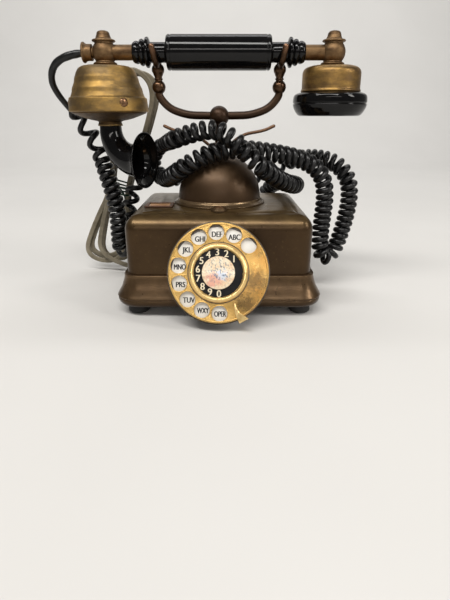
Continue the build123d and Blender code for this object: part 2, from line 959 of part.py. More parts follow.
def hook_bracket():
    """Bent sheet bracket that guides the stem's foot and carries the lever's pin."""
    span = bracket_half_span
    y = 9.0
    bracket = block((-span - sheet_thick, span + sheet_thick), (-y, y), (guide_z, guide_z + sheet_thick))
    for side in (-1, 1):
        x = sorted((side * span, side * (span + sheet_thick)))
        bracket += block(x, (-y, y), (floor_top, guide_z))
        foot = sorted((side * span, side * (span + 8)))
        bracket += block(foot, (-y, y), (floor_top, floor_top + sheet_thick))
    pin_z = lever_z - lever_pivot_drop + 2.3
    bracket -= block((span - 1, span + 3), (-4.4, 4.4), (pin_z - 6, pin_z + 9))
    for y_ear in (-6.3, 4.3):
        x_ear = (span + sheet_thick, lever_pivot_x + 3.5)
        bracket += block(x_ear, (y_ear, y_ear + 2.0), (pin_z - 3.5, pin_z + 3.5))
    bracket -= post(0, 0, stem_radius + run_gap, guide_z - 1, guide_z + 2 * sheet_thick)
    bracket += Pos(lever_pivot_x, 0, pin_z) * along_y(Cylinder(pivot_radius, 12.6))
    return bracket


def hook_lever():
    """Lever that follows the stem's foot with a roller and works the contacts with its tail."""
    pin_z = lever_z - lever_pivot_drop + 2.3
    lever = Pos(lever_pivot_x, 0, pin_z) * along_y(Cylinder(3.0, 8.0))
    lever += block((0, lever_pivot_x), (-3, 3), (lever_z - 1.0, lever_z + 0.8))
    lever += Pos(0, 0, lever_z) * along_y(Cylinder(roller_radius, 6.0))
    lever += block((lever_pivot_x, lever_pivot_x + 12), (-3, 3), (pin_z - 1.5, pin_z + 0.5))
    lever -= Pos(lever_pivot_x, 0, pin_z) * along_y(Cylinder(pivot_radius + run_gap, 20))
    return lever


def hook_contacts():
    """Pile of contact springs in an insulating stack, under the lever's tail."""
    x = lever_pivot_x + 14
    top = lever_z - lever_pivot_drop - 4.4
    pile = block((x, x + 8), (-6, 6), (floor_top, top))
    for level in range(3):
        z = top - 1.0 - 3.0 * level
        pile += block((x - 6, x + 1), (-3, 3), (z, z + 0.6))
    return pile


def ringer_frame():
    """Yoke plate with posts for both gongs and ears for the clapper's pin."""
    half = gong_spread / 2
    frame = block((-half - 8, half + 8), (ringer_y - 9, ringer_y + 9), (floor_top, floor_top + 3))
    for side in (-1, 1):
        frame += post(side * half, ringer_y, 3.0, floor_top + 3, floor_top + gong_seat)
        frame += post(side * half, ringer_y, 1.8, floor_top + gong_seat, floor_top + gong_seat + 5)
    pin_z = floor_top + 12
    for y in (ringer_y - 6.5, ringer_y + 4.5):
        frame += block((-3, 3), (y, y + 2), (floor_top + 3, pin_z + 3))
    frame += Pos(0, ringer_y, pin_z) * along_y(Cylinder(pivot_radius, 13))
    return frame


def ringer_coils():
    bobbin = turned(
        (0, 3), (7, 3), (7, 4.4), (5.6, 4.4), (5.6, 18.6), (7, 18.6), (7, 20), (0, 20)
    )
    return [Pos(side * 11.5, ringer_y, floor_top) * bobbin for side in (-1, 1)]


def gong(side):
    """Shallow bell shell, screwed on its post."""
    bell = turned(
        (gong_radius - 1.6, 0),
        (gong_radius, 0),
        (gong_radius - 1.4, 8.0, 0.6),
        (gong_radius - 9, 12.0, 1.0),
        (1.8 + run_gap, 12.0),
        (1.8 + run_gap, 10.6),
        (gong_radius - 9.4, 10.6),
        (gong_radius - 3.0, 7.4, -0.8),
    )
    return Pos(side * gong_spread / 2, ringer_y, floor_top + gong_seat - 10.6) * bell


def clapper():
    """Armature on its pin with the rod and ball that strike the gongs."""
    pin_z = floor_top + 12
    body = Pos(0, ringer_y, pin_z) * along_y(Cylinder(2.6, 8.4))
    body += post(0, ringer_y, 0.9, pin_z, pin_z + clapper_length)
    body += Pos(0, ringer_y, pin_z + clapper_length) * Sphere(3.6)
    body -= Pos(0, ringer_y, pin_z) * along_y(Cylinder(pivot_radius + run_gap, 20))
    return body


def terminal_board():
    left = -half_width + body_wall + inner_gap
    front = -34.0
    middle = front + board_depth / 2
    board = block(
        (left, left + board_length), (front, front + board_depth), (floor_top + 5, floor_top + 8)
    )
    for x in (left + 4, left + board_length - 4):
        board += post(x, middle, 2.5, floor_top, floor_top + 5)
    for screw in range(5):
        place = left + 4 + screw * (board_length - 8) / 4
        board += post(place, front + 5, 2.0, floor_top + 8, floor_top + 9.6)
    return board


def induction_coil():
    """Wound bobbin on a laminated core."""
    half = coil_core_length / 2
    limb = 4.0
    core = block((-half, half), (-7, 7), (floor_top, floor_top + 22))
    core -= block((limb - half, half - limb), (-8, 8), (floor_top + limb, floor_top + 22 - limb))
    core += Pos(0, 0, floor_top + 11) * along_x(Cylinder(6.5, coil_core_length - 2 * limb))
    return Pos(-half_width + body_wall + inner_gap + half, 4, 0) * core


def capacitor():
    can = slab(can_length, 16, 3, floor_top, floor_top + 24)
    for x in (-7, 7):
        can += post(x, 0, 1.6, floor_top + 24, floor_top + 27)
    return Pos(half_width - body_wall - inner_gap - can_inset - can_length / 2, -38, 0) * can


def grommets():
    """Rubber strain reliefs through the rear wall, tapering outwards."""
    hole = grommet_hole()
    bush = turned(
        (lead_radius + run_gap, -body_wall - 2.0),
        (hole + 1.8, -body_wall - 2.0),
        (hole + 1.8, -body_wall),
        (hole - run_gap, -body_wall),
        (hole - run_gap, 0),
        (hole + 1.8, 0),
        (hole + 1.8, 2.4),
        (lead_radius + 2.2, 3.4),
        (lead_radius + 0.9, grommet_length),
        (0, grommet_length),
        (0, grommet_length - 5.0),
        (lead_radius + run_gap, grommet_length - 5.0),
    )
    return [
        Pos(side * grommet_spread / 2, half_depth, grommet_height) * along_y(bush)
        for side in (-1, 1)
    ]


# Cords


def bend_radii(points):
    """The largest arc that each corner's two runs allow."""
    radii = []
    for before, here, after in zip(points, points[1:], points[2:]):
        a = Vector(*here) - Vector(*before)
        b = Vector(*after) - Vector(*here)
        half = radians(a.get_angle(b)) / 2
        radii.append(0.45 * min(a.length, b.length) / tan(half))
    return radii


def cord_path(name, points):
    radii = bend_radii(points)
    print(name, "bend radii", [round(radius, 1) for radius in radii])
    return FilletPolyline(*points, radius=radii)


lead_route = [
    (-ball_x - ball_radius + 1.0, 0, handset_z),
    (-114.0, 0.0, handset_z),
    (-132.0, 2.0, 197.0),
    (-141.0, 8.0, 187.0),
    (-141.62, 14.95, 174.67),
    (-134.0, 18.0, 164.0),
]
curl_route = [
    (-134.0, 18.0, 164.0),
    (-124.0, 22.0, 150.0),
    (-113.0, 20.0, 136.0),
    (-106.0, 14.0, 120.0),
    (-101.0, 9.0, 104.0),
    (-96.0, 7.0, 86.0),
    (-94.0, 7.0, 68.0),
    (-95.0, 9.0, 50.0),
    (-96.0, 14.0, 36.0),
    (-97.0, 26.0, 30.0),
    (-96.0, 37.0, 38.0),
    (-93.0, 40.0, 56.0),
    (-88.0, 40.0, 76.0),
    (-82.0, 41.0, 96.0),
    (-66.0, 48.5, 103.0),
    (-44.0, 52.0, 97.0),
    (-18.0, 54.0, 93.5),
    (10.0, 55.0, 94.0),
    (34.0, 52.0, 98.0),
    (54.0, 45.0, 109.0),
    (72.0, 36.0, 117.0),
    (90.0, 26.0, 119.0),
    (106.0, 16.0, 115.0),
    (117.0, 11.0, 102.0),
    (119.5, 10.0, 86.0),
    (118.0, 10.5, 68.0),
    (114.0, 10.0, 50.0),
    (109.0, 8.0, 36.0),
    (101.0, 3.0, 29.0),
    (94.0, -3.0, 35.0),
    (92.0, -4.0, 50.0),
    (93.0, -3.0, 68.0),
    (94.5, -2.0, 86.0),
    (92.0, -3.0, 102.0),
    (83.0, -6.0, 114.0),
    (67.0, -9.0, 121.0),
    (48.0, -13.0, 125.0),
    (30.0, -15.0, 127.5),
    (14.0, -19.0, 129.0),
    (-2.0, -24.5, 127.5),
    (-19.0, -27.0, 121.0),
    (-33.0, -20.5, 112.0),
    (-43.5, -2.0, 104.0),
    (-50.0, 18.0, 100.0),
    (-60.0, 29.0, 104.5),
    (-64.0, 31.0, 117.0),
    (-55.5, 23.5, 128.0),
    (-47.0, 10.0, 132.0),
    (-38.0, -8.0, 136.0),
    (-23.0, -15.0, 141.0),
    (-5.0, -21.5, 145.0),
    (8.0, -30.5, 140.0),
    (20.0, -36.0, 129.0),
    (33.0, -33.5, 116.5),
    (47.0, -20.0, 106.0),
    (60.0, -4.0, 99.0),
    (70.0, 14.0, 95.0),
    (73.0, 34.0, 93.5),
    (67.0, 54.0, 93.0),
    (58.0, 73.0, 90.0),
    (51.0, 92.0, 81.0),
    (44.0, 101.0, 66.0),
    (40.0, half_depth + grommet_length + 10.0, grommet_height),
    (40.0, half_depth + grommet_length, grommet_height),
]
hidden_span = (8, 20)
line_lead_route = [
    (-grommet_spread / 2, half_depth + grommet_length, grommet_height),
    (-40.0, half_depth + grommet_length + 11.0, grommet_height),
    (-48.0, 104.0, 44.0),
    (-62.0, 103.0, 28.0),
    (-77.0, 95.0, 14.0),
    (-86.0, 82.0, 6.4),
    (-88.0, 67.0, 4.4),
    (-93.1, 50.64, 4.64),
    (-106.0, 50.4, 10.0),
]
hank_foot = Vector(-122.0, 50.0, 9.5)
hank_head = Vector(-72.0, 50.0, 196.0)
hank_half_width = 17.0
hank_waist = 6.5
hank_fan = 9.0
hank_waist_share = 0.42
tail_route = [
    (-99.5, 73.0, 26.0),
    (-100.118, 76.59, 13.005),
    (-98.5, 88.0, 5.2),
    (-90.0, 99.0, 3.4),
    (-78.0, 106.0, 4.0),
    (-67.0, 109.0, 9.0),
    (-56.0, 109.0, 9.0),
]


def handset_cord_lead():
    path = cord_path("handset_cord_lead", lead_route)
    section = Plane(origin=path @ 0, z_dir=path % 0) * Circle(lead_radius)
    return sweep(section, path=path)


def run_length(points):
    return sum((Vector(*b) - Vector(*a)).length for a, b in zip(points, points[1:]))


def curl_points():
    """Fine points on the helix that winds round the route, with the index of each half turn."""
    spine = cord_path("handset_cord_coil", curl_route)
    length = spine.length
    hidden = [run_length(curl_route[: index + 1]) / run_length(curl_route) for index in hidden_span]
    straight = 2.2 * wire_radius
    ramp = 12.0
    step = curl_pitch / 16
    count = round(length / step)
    places, ahead = [], []
    for index in range(count + 1):
        places.append(spine @ (index / count))
        ahead.append(spine % (index / count))
    side = ahead[0].cross(Vector(0, 0, 1)).normalized()
    phase = 0.0
    points = []
    for index, (place, way) in enumerate(zip(places, ahead)):
        side = (side - way * side.dot(way)).normalized()
        along = index / count
        pitch = curl_pitch_hidden if hidden[0] < along < hidden[1] else curl_pitch
        end = min(along, 1 - along) * length
        grown = min(1.0, max(0.0, (end - straight) / ramp))
        grown = grown * grown * (3 - 2 * grown)
        if straight < along * length < length - straight:
            phase += 2 * pi * (length / count) / pitch
        swing = side * cos(phase) + way.cross(side) * sin(phase)
        points.append((place + swing * (curl_radius * grown), phase))
    print("curls", round(phase / (2 * pi), 1), "route length", round(length, 1))
    return points


def biarc(start, start_way, end, end_way):
    """Two arcs that leave start along its way and reach end along its own."""
    chord = end - start
    ways = start_way + end_way
    spread = 2 * (1 - start_way.dot(end_way))
    lean = chord.dot(ways)
    if spread < 1e-9:
        return [Line(start, end)]
    reach = (sqrt(lean * lean + spread * chord.dot(chord)) - lean) / spread
    first, second = start + start_way * reach, end - end_way * reach
    middle = (first + second) * 0.5
    return [
        TangentArc(start, middle, tangent=start_way),
        TangentArc(middle, end, tangent=second - first),
    ]


def handset_cord_coil():
    """The curly cord as one unbroken tube of five sides, wound round its route."""
    fine = curl_points()
    last = len(fine) - 1
    knots, half_turns = [0], 0
    for index, (_, phase) in enumerate(fine):
        if phase > 0 and half_turns == 0 or phase >= pi * half_turns and half_turns:
            knots.append(index - 1)
            half_turns += 1
    whole = fine[last][1]
    tail = next(index for index in range(last + 1) if fine[index][1] == whole)
    knots += [tail, last]
    ways = []
    for index in knots:
        low, high = max(0, index - 1), min(last, index + 1)
        ways.append((fine[high][0] - fine[low][0]).normalized())
    edges = []
    for here in range(len(knots) - 1):
        start, end = fine[knots[here]][0], fine[knots[here + 1]][0]
        edges += biarc(start, ways[here], end, ways[here + 1])
    report_self_gap("handset_cord_coil", [point for point, _ in fine], 2 * wire_radius, 12)
    path = Wire(edges)
    section = Plane(origin=path @ 0, z_dir=path % 0) * RegularPolygon(wire_radius, 5)
    tube = sweep(section, path=path, clean=False)
    area = 2.5 * wire_radius**2 * sin(radians(72))
    print("handset_cord_coil volume", round(tube.volume), "section by length", round(area * path.length))
    return tube


def report_self_gap(name, points, thickness, skip):
    """Print the least gap between stretches of a cord that aren't neighbours."""
    least = min(
        (a - b).length
        for index, a in enumerate(points)
        for b in points[index + skip :]
        if abs(a.X - b.X) < 3 * thickness and abs(a.Z - b.Z) < 3 * thickness
    )
    print(name, "least gap to itself", round(least - thickness, 2))


def hank_route():
    """Loops of the line cord, each a step behind the last, drawn in at the waist and fanned
    at the foot; the step is taken along the right run."""
    rise = hank_head - hank_foot
    height = rise.length
    up = rise.normalized()
    across = Vector(0, 1, 0).cross(up)
    points = [Vector(*line_lead_route[-1])]

    def spot(sideways, share, behind):
        return hank_foot + across * sideways + up * (height * share) + Vector(0, behind, 0)

    for loop in range(hank_loops):
        fan = hank_fan * cos(2.1 * loop)
        grow = 0.02 * cos(3.7 * loop)
        behind = hank_step * loop
        wide = hank_half_width * (1 + 0.12 * sin(1.9 * loop))
        if loop:
            points.append(spot(wide + fan, 0.03 + grow, behind))
        points.append(spot(fan - wide, 0.02 + grow, behind))
        points.append(spot(0.5 * fan - 0.85 * wide, 0.2, behind))
        points.append(spot(-hank_waist, hank_waist_share, behind))
        points.append(spot(-0.88 * wide, 0.7, behind))
        points.append(spot(-wide, 0.98 + grow, behind))
        points.append(spot(wide, 0.97 - grow, behind + 0.1 * hank_step))
        points.append(spot(0.88 * wide, 0.7, behind + 0.35 * hank_step))
        points.append(spot(hank_waist, hank_waist_share, behind + 0.55 * hank_step))
        points.append(spot(0.85 * wide + 0.5 * fan, 0.2, behind + 0.8 * hank_step))
    points.append(Vector(*tail_route[0]))
    return [tuple(point) for point in points]


def flat_cord(name, points):
    """Flat two-wire cord, its thin side towards the back where it starts."""
    path = cord_path(name, points)
    ahead = path % 0
    broad = ahead.cross(Vector(0, 1, 0))
    if broad.length < 0.1:
        broad = Vector(0, 0, 1)
    start = Plane(origin=path @ 0, x_dir=broad, z_dir=ahead)
    tube = sweep(start * Rectangle(line_cord_width, line_cord_thick), path=path)
    volume = path.length * line_cord_width * line_cord_thick
    print(name, "length", round(path.length), "volume", round(tube.volume), "of", round(volume))
    return tube


def hank_tie():
    """Twisted wire tie round the waist of the hank."""
    rise = (hank_head - hank_foot).normalized()
    middle = hank_foot + (hank_head - hank_foot) * hank_waist_share
    depth = hank_step * hank_loops + line_cord_thick + 1.6
    width = 2 * hank_waist + 2.2 * line_cord_width
    plane = Plane(
        origin=middle + Vector(0, (hank_step * hank_loops - hank_step / 2) / 2, 0),
        x_dir=Vector(0, 1, 0).cross(rise),
        z_dir=rise,
    )
    band = RectangleRounded(width + 1.6, depth + 1.6, 2.4) - RectangleRounded(width, depth, 1.6)
    return plane * extrude(band, 2.4, both=True)


def line_plug():
    """Moulded plug with four round pins, lying behind the base."""
    x, y, z = tail_route[-1]
    body = slab(18.0, 16.0, 3.0, 0, 24.0)
    body = fillet(body.faces().sort_by(Axis.Z)[-1].edges(), 1.5)
    for px in (-1, 1):
        for py in (-1, 1):
            body += post(5.0 * px, 4.5 * py, 1.6, 24.0, 33.0)
    return Pos(x, y, z) * along_x(body)


def assembly():
    """Every node of the telephone by name."""
    nodes = {
        "housing": housing(),
        "plinth": plinth(),
        "base_plate": base_plate(),
        "feet": feet(),
        "name_plate": name_plate(),
        "dome_flange": dome_flange(),
        "dome": dome(),
        "stem_collar": stem_collar(),
        "cradle_stem": cradle_stem(),
        "cradle_hub": cradle_hub(),
        "handle_grip": handle_grip(),
        "handle_tube": handle_tube(),
        "finials": finials(),
        "cord_ferrule": cord_ferrule(),
        "transmitter_shell": transmitter_shell(),
        "transmitter_base": transmitter_base(),
        "transmitter_capsule": transmitter_capsule(),
        "horn": horn(),
        "receiver_cup": receiver_cup(),
        "ear_cap": ear_cap(),
        "receiver_capsule": receiver_capsule(),
        "hook_bracket": hook_bracket(),
        "hook_lever": hook_lever(),
        "hook_contacts": hook_contacts(),
        "ringer_frame": ringer_frame(),
        "ringer_coils": ringer_coils(),
        "clapper": clapper(),
        "terminal_board": terminal_board(),
        "induction_coil": induction_coil(),
        "capacitor": capacitor(),
        "cord_grommets": grommets(),
        "dial_cup": dial_cup(),
        "handset_cord_lead": handset_cord_lead(),
        "handset_cord_coil": handset_cord_coil(),
        "line_cord_lead": flat_cord("line_cord_lead", line_lead_route),
        "line_cord_hank": flat_cord("line_cord_hank", hank_route()),
        "line_cord_tail": flat_cord("line_cord_tail", tail_route),
        "hank_tie": hank_tie(),
        "line_plug": line_plug(),
    }
    for name, side in (("left", -1), ("right", 1)):
        nodes["cradle_arm_" + name] = cradle_arm(side)
        nodes["ball_fitting_" + name] = ball_fitting(side)
        nodes["gong_" + name] = gong(side)
    nodes["cradle_fork_left"] = cradle_fork()
    nodes["cradle_fork_right"] = mirror(nodes["cradle_fork_left"], about=Plane.YZ)
    for make in (
        finger_wheel,
        card_ring,
        number_card,
        centre_card,
        letter_plate,
        finger_stop,
        dial_shaft,
        main_gear,
        return_spring,
        dial_frame,
        pulse_pinion,
        governor,
        pulse_contacts,
    ):
        nodes[make.__name__] = dial_plane * make()
    return nodes


os.makedirs("parts", exist_ok=True)
for node, shape in assembly().items():
    if isinstance(shape, list):
        shape = Compound(children=shape)
    export_step(shape, f"parts/{node}.step")
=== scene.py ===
"""Antique style rotary telephone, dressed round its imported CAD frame."""

from math import cos, pi, radians, sin

import bmesh
import bpy
import numpy as np
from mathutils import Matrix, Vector


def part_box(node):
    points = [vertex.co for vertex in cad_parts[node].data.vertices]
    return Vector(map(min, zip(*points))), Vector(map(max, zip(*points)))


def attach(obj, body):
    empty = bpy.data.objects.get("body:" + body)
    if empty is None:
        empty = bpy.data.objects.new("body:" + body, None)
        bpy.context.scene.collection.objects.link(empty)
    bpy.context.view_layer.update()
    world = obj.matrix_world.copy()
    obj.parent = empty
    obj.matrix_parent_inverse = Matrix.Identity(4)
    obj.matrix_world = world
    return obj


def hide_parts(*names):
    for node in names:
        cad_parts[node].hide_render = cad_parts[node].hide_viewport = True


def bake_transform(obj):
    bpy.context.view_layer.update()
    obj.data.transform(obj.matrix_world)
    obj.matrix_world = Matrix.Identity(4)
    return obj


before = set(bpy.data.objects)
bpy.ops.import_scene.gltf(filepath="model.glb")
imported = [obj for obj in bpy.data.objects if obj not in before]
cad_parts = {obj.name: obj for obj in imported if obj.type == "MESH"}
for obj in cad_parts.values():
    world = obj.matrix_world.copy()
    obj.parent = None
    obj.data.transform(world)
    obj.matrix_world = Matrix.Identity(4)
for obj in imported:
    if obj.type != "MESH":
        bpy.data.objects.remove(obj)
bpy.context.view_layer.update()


# Feet: four black rubber buttons pushed up under the plinth.
# Each is turned from one outline, a little narrower at the top, with the matt bloom of old rubber.


def mm_box(node):
    """Lowest and highest corner of a CAD node, in millimetres."""
    return np.array(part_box(node)) * 1000.0


def rounded(before, corner, after, reach, most, steps):
    """Quadratic curves round corners, from and to where a reach, or at most a share of the side, is
    cut back along the sides to the points before and after."""

    def cut(side):
        length = np.maximum(np.linalg.norm(side, axis=1), 1e-9)
        return (corner + side * np.minimum(most, reach / length)[:, None])[:, None]

    t = np.linspace(0, 1, steps)[:, None]
    start, end = cut(before - corner), cut(after - corner)
    curve = (1 - t) ** 2 * start + 2 * t * (1 - t) * corner[:, None] + t**2 * end
    return curve.reshape(-1, corner.shape[1])


def softened(points, radius=0.3, steps=4):
    """Closed outline with rounded corners; corners on the axis stay as they are."""
    p = np.array(points, float)
    reach = np.where(p[:, 0] > 1e-6, radius, 0.0)
    return rounded(np.roll(p, 1, 0), p, np.roll(p, -1, 0), reach, 0.45, steps)


def circle(count):
    """Cosines and sines of evenly spaced angles."""
    angle = np.linspace(0, 2 * pi, count, endpoint=False)
    return np.cos(angle), np.sin(angle)


def turned(outline, place, turns):
    """Skin of revolution: each (radius, height) of a closed outline carried round the axis."""
    c, s = circle(turns)
    r, h = np.array(outline, float).T[:, :, None]
    return place(np.stack([r * c, r * s, h + 0 * c], -1)), True, True


def at(x, y, z):
    """Shift of a skin to a place in the frame."""
    return lambda points: points + np.array([x, y, z], float)


def quads(points, wrap_rows, wrap_columns):
    """Vertex numbers of the quads between neighbouring rows and columns of a grid."""
    rows, columns = points.shape[:2]
    r = np.arange(rows if wrap_rows else rows - 1)[:, None]
    c = np.arange(columns if wrap_columns else columns - 1)[None, :]
    r2, c2 = (r + 1) % rows, (c + 1) % columns
    corners = [r * columns + c, r * columns + c2, r2 * columns + c2, r2 * columns + c]
    return np.stack(corners, -1).reshape(-1, 4)


def cleaned(mesh, weld, slivers=False):
    """Merge a mesh's points that lie closer than the weld, drop slivers and turn its faces outwards."""
    work = bmesh.new()
    work.from_mesh(mesh)
    bmesh.ops.remove_doubles(work, verts=work.verts, dist=weld)
    if slivers:
        bmesh.ops.dissolve_degenerate(work, edges=work.edges, dist=1e-7)
    bmesh.ops.recalc_face_normals(work, faces=work.faces)
    work.to_mesh(mesh)
    work.free()
    return mesh


def piece(name, body, skins, finish, stands_for=(), sharp=38):
    """One object from grid skins in millimetres: welded, turned outwards, smooth up to an angle."""
    points, faces, count = [], [], 0
    for skin, wrap_rows, wrap_columns in skins:
        points.append(skin.reshape(-1, 3) * 0.001)
        faces.append(quads(skin, wrap_rows, wrap_columns) + count)
        count += len(points[-1])
    mesh = bpy.data.meshes.new(name)
    mesh.from_pydata(np.concatenate(points).tolist(), [], np.concatenate(faces).tolist())
    return settle(name, body, cleaned(mesh, 2e-6, True), finish, stands_for, sharp)


def linked(name, data):
    """New object in the scene."""
    obj = bpy.data.objects.new(name, data)
    bpy.context.scene.collection.objects.link(obj)
    return obj


def settle(name, body, mesh, finish, stands_for=(), sharp=38):
    """Shade a finished mesh, give it its finish and set it on its body."""
    mesh.shade_smooth()
    mesh.set_sharp_from_angle(angle=radians(sharp))
    mesh.materials.clear()
    mesh.materials.append(finish)
    obj = linked(name, mesh)
    if body:
        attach(obj, body)
    if stands_for:
        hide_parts(*stands_for)
    return obj


class Finish:
    """Node material on Object coordinates with a few plain building blocks."""

    def __init__(self, name, **sockets):
        self.material = bpy.data.materials.new(name)
        self.material.use_nodes = True
        self.tree = self.material.node_tree
        self.shader = self.tree.nodes["Principled BSDF"]
        self.feed(self.shader, {socket.replace("_", " "): value for socket, value in sockets.items()})

    def feed(self, node, inputs):
        """Join outputs to a node's inputs and set the others' values."""
        for socket, value in inputs.items():
            if isinstance(value, bpy.types.NodeSocket):
                self.tree.links.new(value, node.inputs[socket])
            else:
                node.inputs[socket].default_value = value

    def add(self, kind, inputs, **settings):
        """A new node's outputs."""
        node = self.tree.nodes.new("ShaderNode" + kind)
        for setting, value in settings.items():
            setattr(node, setting, value)
        self.feed(node, inputs)
        return node.outputs

    def coords(self, stretch=(1, 1, 1)):
        """Object coordinates in metres, stretched along the axes."""
        here = self.add("TexCoord", {})["Object"]
        return self.add("Mapping", {"Vector": here, "Scale": stretch})["Vector"]

    def noise(self, scale, detail=4, rough=0.55, stretch=(1, 1, 1)):
        """A grey cloud; scale is about how many of its waves fit into a metre."""
        inputs = {"Scale": scale, "Detail": detail, "Roughness": rough}
        return self.add("TexNoise", {**inputs, "Vector": self.coords(stretch)})["Fac"]

    def ramp(self, source, *stops):
        """Colours or greys at positions along a source: an output, or the settings of a noise."""
        source = self.noise(*source) if isinstance(source, tuple) else source
        colour = self.add("ValToRGB", {"Fac": source})["Color"]
        points = colour.node.color_ramp.elements
        while len(points) < len(stops):
            points.new(0.5)
        for point, (position, tone) in zip(points, stops):
            point.position = position
            point.color = (*(tone if isinstance(tone, tuple) else (tone,) * 3), 1)
        return colour

    def mix(self, share, a, b, blend="MIX"):
        """Two colours mixed by a share; each is a colour or an output."""
        a, b = ((*value, 1) if isinstance(value, tuple) else value for value in (a, b))
        return self.add("Mix", {0: share, 6: a, 7: b}, data_type="RGBA", blend_type=blend)[2]

    def times(self, a, b):
        """Product of two outputs."""
        return self.mix(1.0, a, b, "MULTIPLY")

    def span(self, output, low, high):
        """An output spread from 0 at low to 1 at high."""
        return self.add("MapRange", {"Value": output, "From Min": low, "From Max": high})["Result"]

    def rise(self, axis, low, high):
        """0 to 1 between two levels of an Object coordinate, in metres."""
        return self.span(self.add("SeparateXYZ", {0: self.coords()})[axis], low, high)

    def spot(self, middle, radius):
        """1 at a point in metres, fading to 0 at a radius."""
        away = self.add("VectorMath", {0: self.coords(), 1: middle}, operation="DISTANCE")["Value"]
        return self.span(away, radius, 0.0)

    def show(self, colour, rough, grain=None):
        """Set the colour, the roughness and a grain, which has the settings of a noise, a depth and
        a strength."""
        self.feed(self.shader, {"Base Color": colour, "Roughness": rough})
        if grain:
            noise, depth, strength = grain
            inputs = {"Height": self.noise(*noise), "Distance": depth, "Strength": strength}
            self.feed(self.shader, {"Normal": self.add("Bump", inputs)["Normal"]})
        return self.material


def cloudy(name, cloud, tones, gloss, grain=None, gloss_cloud=None, **sockets):
    """Material of one uneven tone: a noise steers its colour and its roughness between stops."""
    finish = Finish(name, **sockets)
    rough = finish.ramp(gloss_cloud or cloud, *gloss)
    return finish.show(finish.ramp(cloud, *tones), rough, grain)


bloom = (0.3, (0.012, 0.012, 0.012)), (0.8, (0.035, 0.033, 0.03))
rubber_grain = (900, 3), 0.0002, 0.4
black_rubber = cloudy(
    "old_black_rubber", (90, 5), bloom, ((0.3, 0.5), (0.8, 0.8)), rubber_grain, Specular_IOR_Level=0.3
)
foot_low, foot_high = mm_box("feet")
foot_radius = 9.0
foot_outline = [(0, 0), (7.2, 0), (foot_radius, 1.6), (8.4, 6.0), (7.8, 8.5), (0, 8.5)]
foot_places = [
    at(x, y, 0)
    for x in (foot_low[0] + foot_radius, foot_high[0] - foot_radius)
    for y in (foot_low[1] + foot_radius, foot_high[1] - foot_radius)
]
foot_skins = [turned(softened(foot_outline, 0.8, 5), place, 64) for place in foot_places]
piece("rubber_feet", "base", foot_skins, black_rubber, ["feet"])


# Plinth: pressed skirt that flares below the case, with a hollow throat, a fine bead and a round
# lower edge. Bronze lacquer with painted light from above: a patchy paler gold from the crest up, while the
# roll under the crest stays dark.


def half_size(node, axis):
    """Half of a CAD node's extent along an axis, in millimetres."""
    return np.ptp(mm_box(node)[:, axis]) / 2


def ring(width, depth, corner, outward, turns=14):
    """Plan of a rounded rectangle moved outwards: four arcs about its corner centres."""
    radius = max(corner + outward, 0.4)
    half = np.maximum([width / 2 + outward - radius, depth / 2 + outward - radius], 0.0)
    quarter = np.linspace(0, 90, turns)
    angle = np.radians((np.arange(4)[:, None] * 90 + quarter).ravel())
    signs = np.repeat([[1, 1], [-1, 1], [-1, -1], [1, -1]], turns, axis=0)
    return signs * half + radius * np.stack([np.cos(angle), np.sin(angle)], -1)


def carried(width, depth, corner, outline, place=at(0, 0, 0)):
    """Skin of an outline (outward, height) carried round a rounded rectangle."""
    rows = [np.insert(ring(width, depth, corner, out), 2, up, axis=1) for out, up in outline]
    return place(np.array(rows)), True, True


def bronze(name, dark, mid, pale_top, pale_from, pale_to, rough=(0.36, 0.5)):
    """Aged bronze lacquer: cloudy brown, patchily paler from a height up, under a thin clear coat; on the
    case, plinth, dome and flange the paler top is painted light.
    """
    finish = Finish(name, Metallic=0.7, Specular_IOR_Level=0.3, Coat_Weight=0.08, Coat_Roughness=0.3)
    base = finish.ramp((26, 6, 0.6), (0.3, dark), (0.7, mid))
    speck = finish.ramp((420, 4, 0.7), (0.6, 0.0), (0.78, 0.35))
    up = finish.rise("Z", pale_from, pale_to)
    patch = finish.ramp((70, 5, 0.65), (0.35, 0.35), (0.7, 1.0))
    toned = finish.mix(finish.times(up, patch), finish.mix(speck, base, pale_top), pale_top)
    gloss = finish.ramp((160, 5), (0.3, rough[0]), (0.75, rough[1]))
    return finish.show(toned, gloss, ((1400, 4), 0.00006, 0.3))


plinth_low, plinth_high = mm_box("plinth")
case_low, case_high = mm_box("housing")
case_width, case_depth = (case_high - case_low)[:2]
case_corner, seam_drop = 9.5, 2.0
case_plan = case_width, case_depth, case_corner
plinth_foot, plinth_top = plinth_low[2], plinth_high[2] - seam_drop
flare = half_size("plinth", 0) - case_width / 2
ledge, crest = 3.0, plinth_foot + 6.0
share = np.linspace(0, 1, 10)[:, None]
swell = 4 * share * (1 - share)
throat_span = np.array([flare - ledge, crest + 4.6 - plinth_top])
throat = (ledge, plinth_top - 2.0) + share * throat_span + swell * (-0.85, -0.3)
bead = [(flare + 0.45, crest + 1.5), (flare - 0.55, crest + 0.7)]
roll = (flare, crest) + share * (-4.5, -6.0) + swell * (1.12, -0.84)
plinth_back = [(-2.5, plinth_foot), (-2.5, plinth_top), (ledge, plinth_top)]
plinth_outline = softened([*plinth_back, *throat, *bead, *roll], 0.8, 5)
# Paler gold from the crest up: painted light from above.
plinth_bronze = bronze(
    "plinth_bronze", (0.036, 0.020, 0.0085), (0.058, 0.033, 0.014), (0.125, 0.076, 0.037),
    crest * 0.001 - 0.003, crest * 0.001 + 0.003, (0.26, 0.38),
)
plinth_skin = carried(*case_plan, plinth_outline)
piece("plinth_skirt", "base", [plinth_skin], plinth_bronze, ["plinth"])
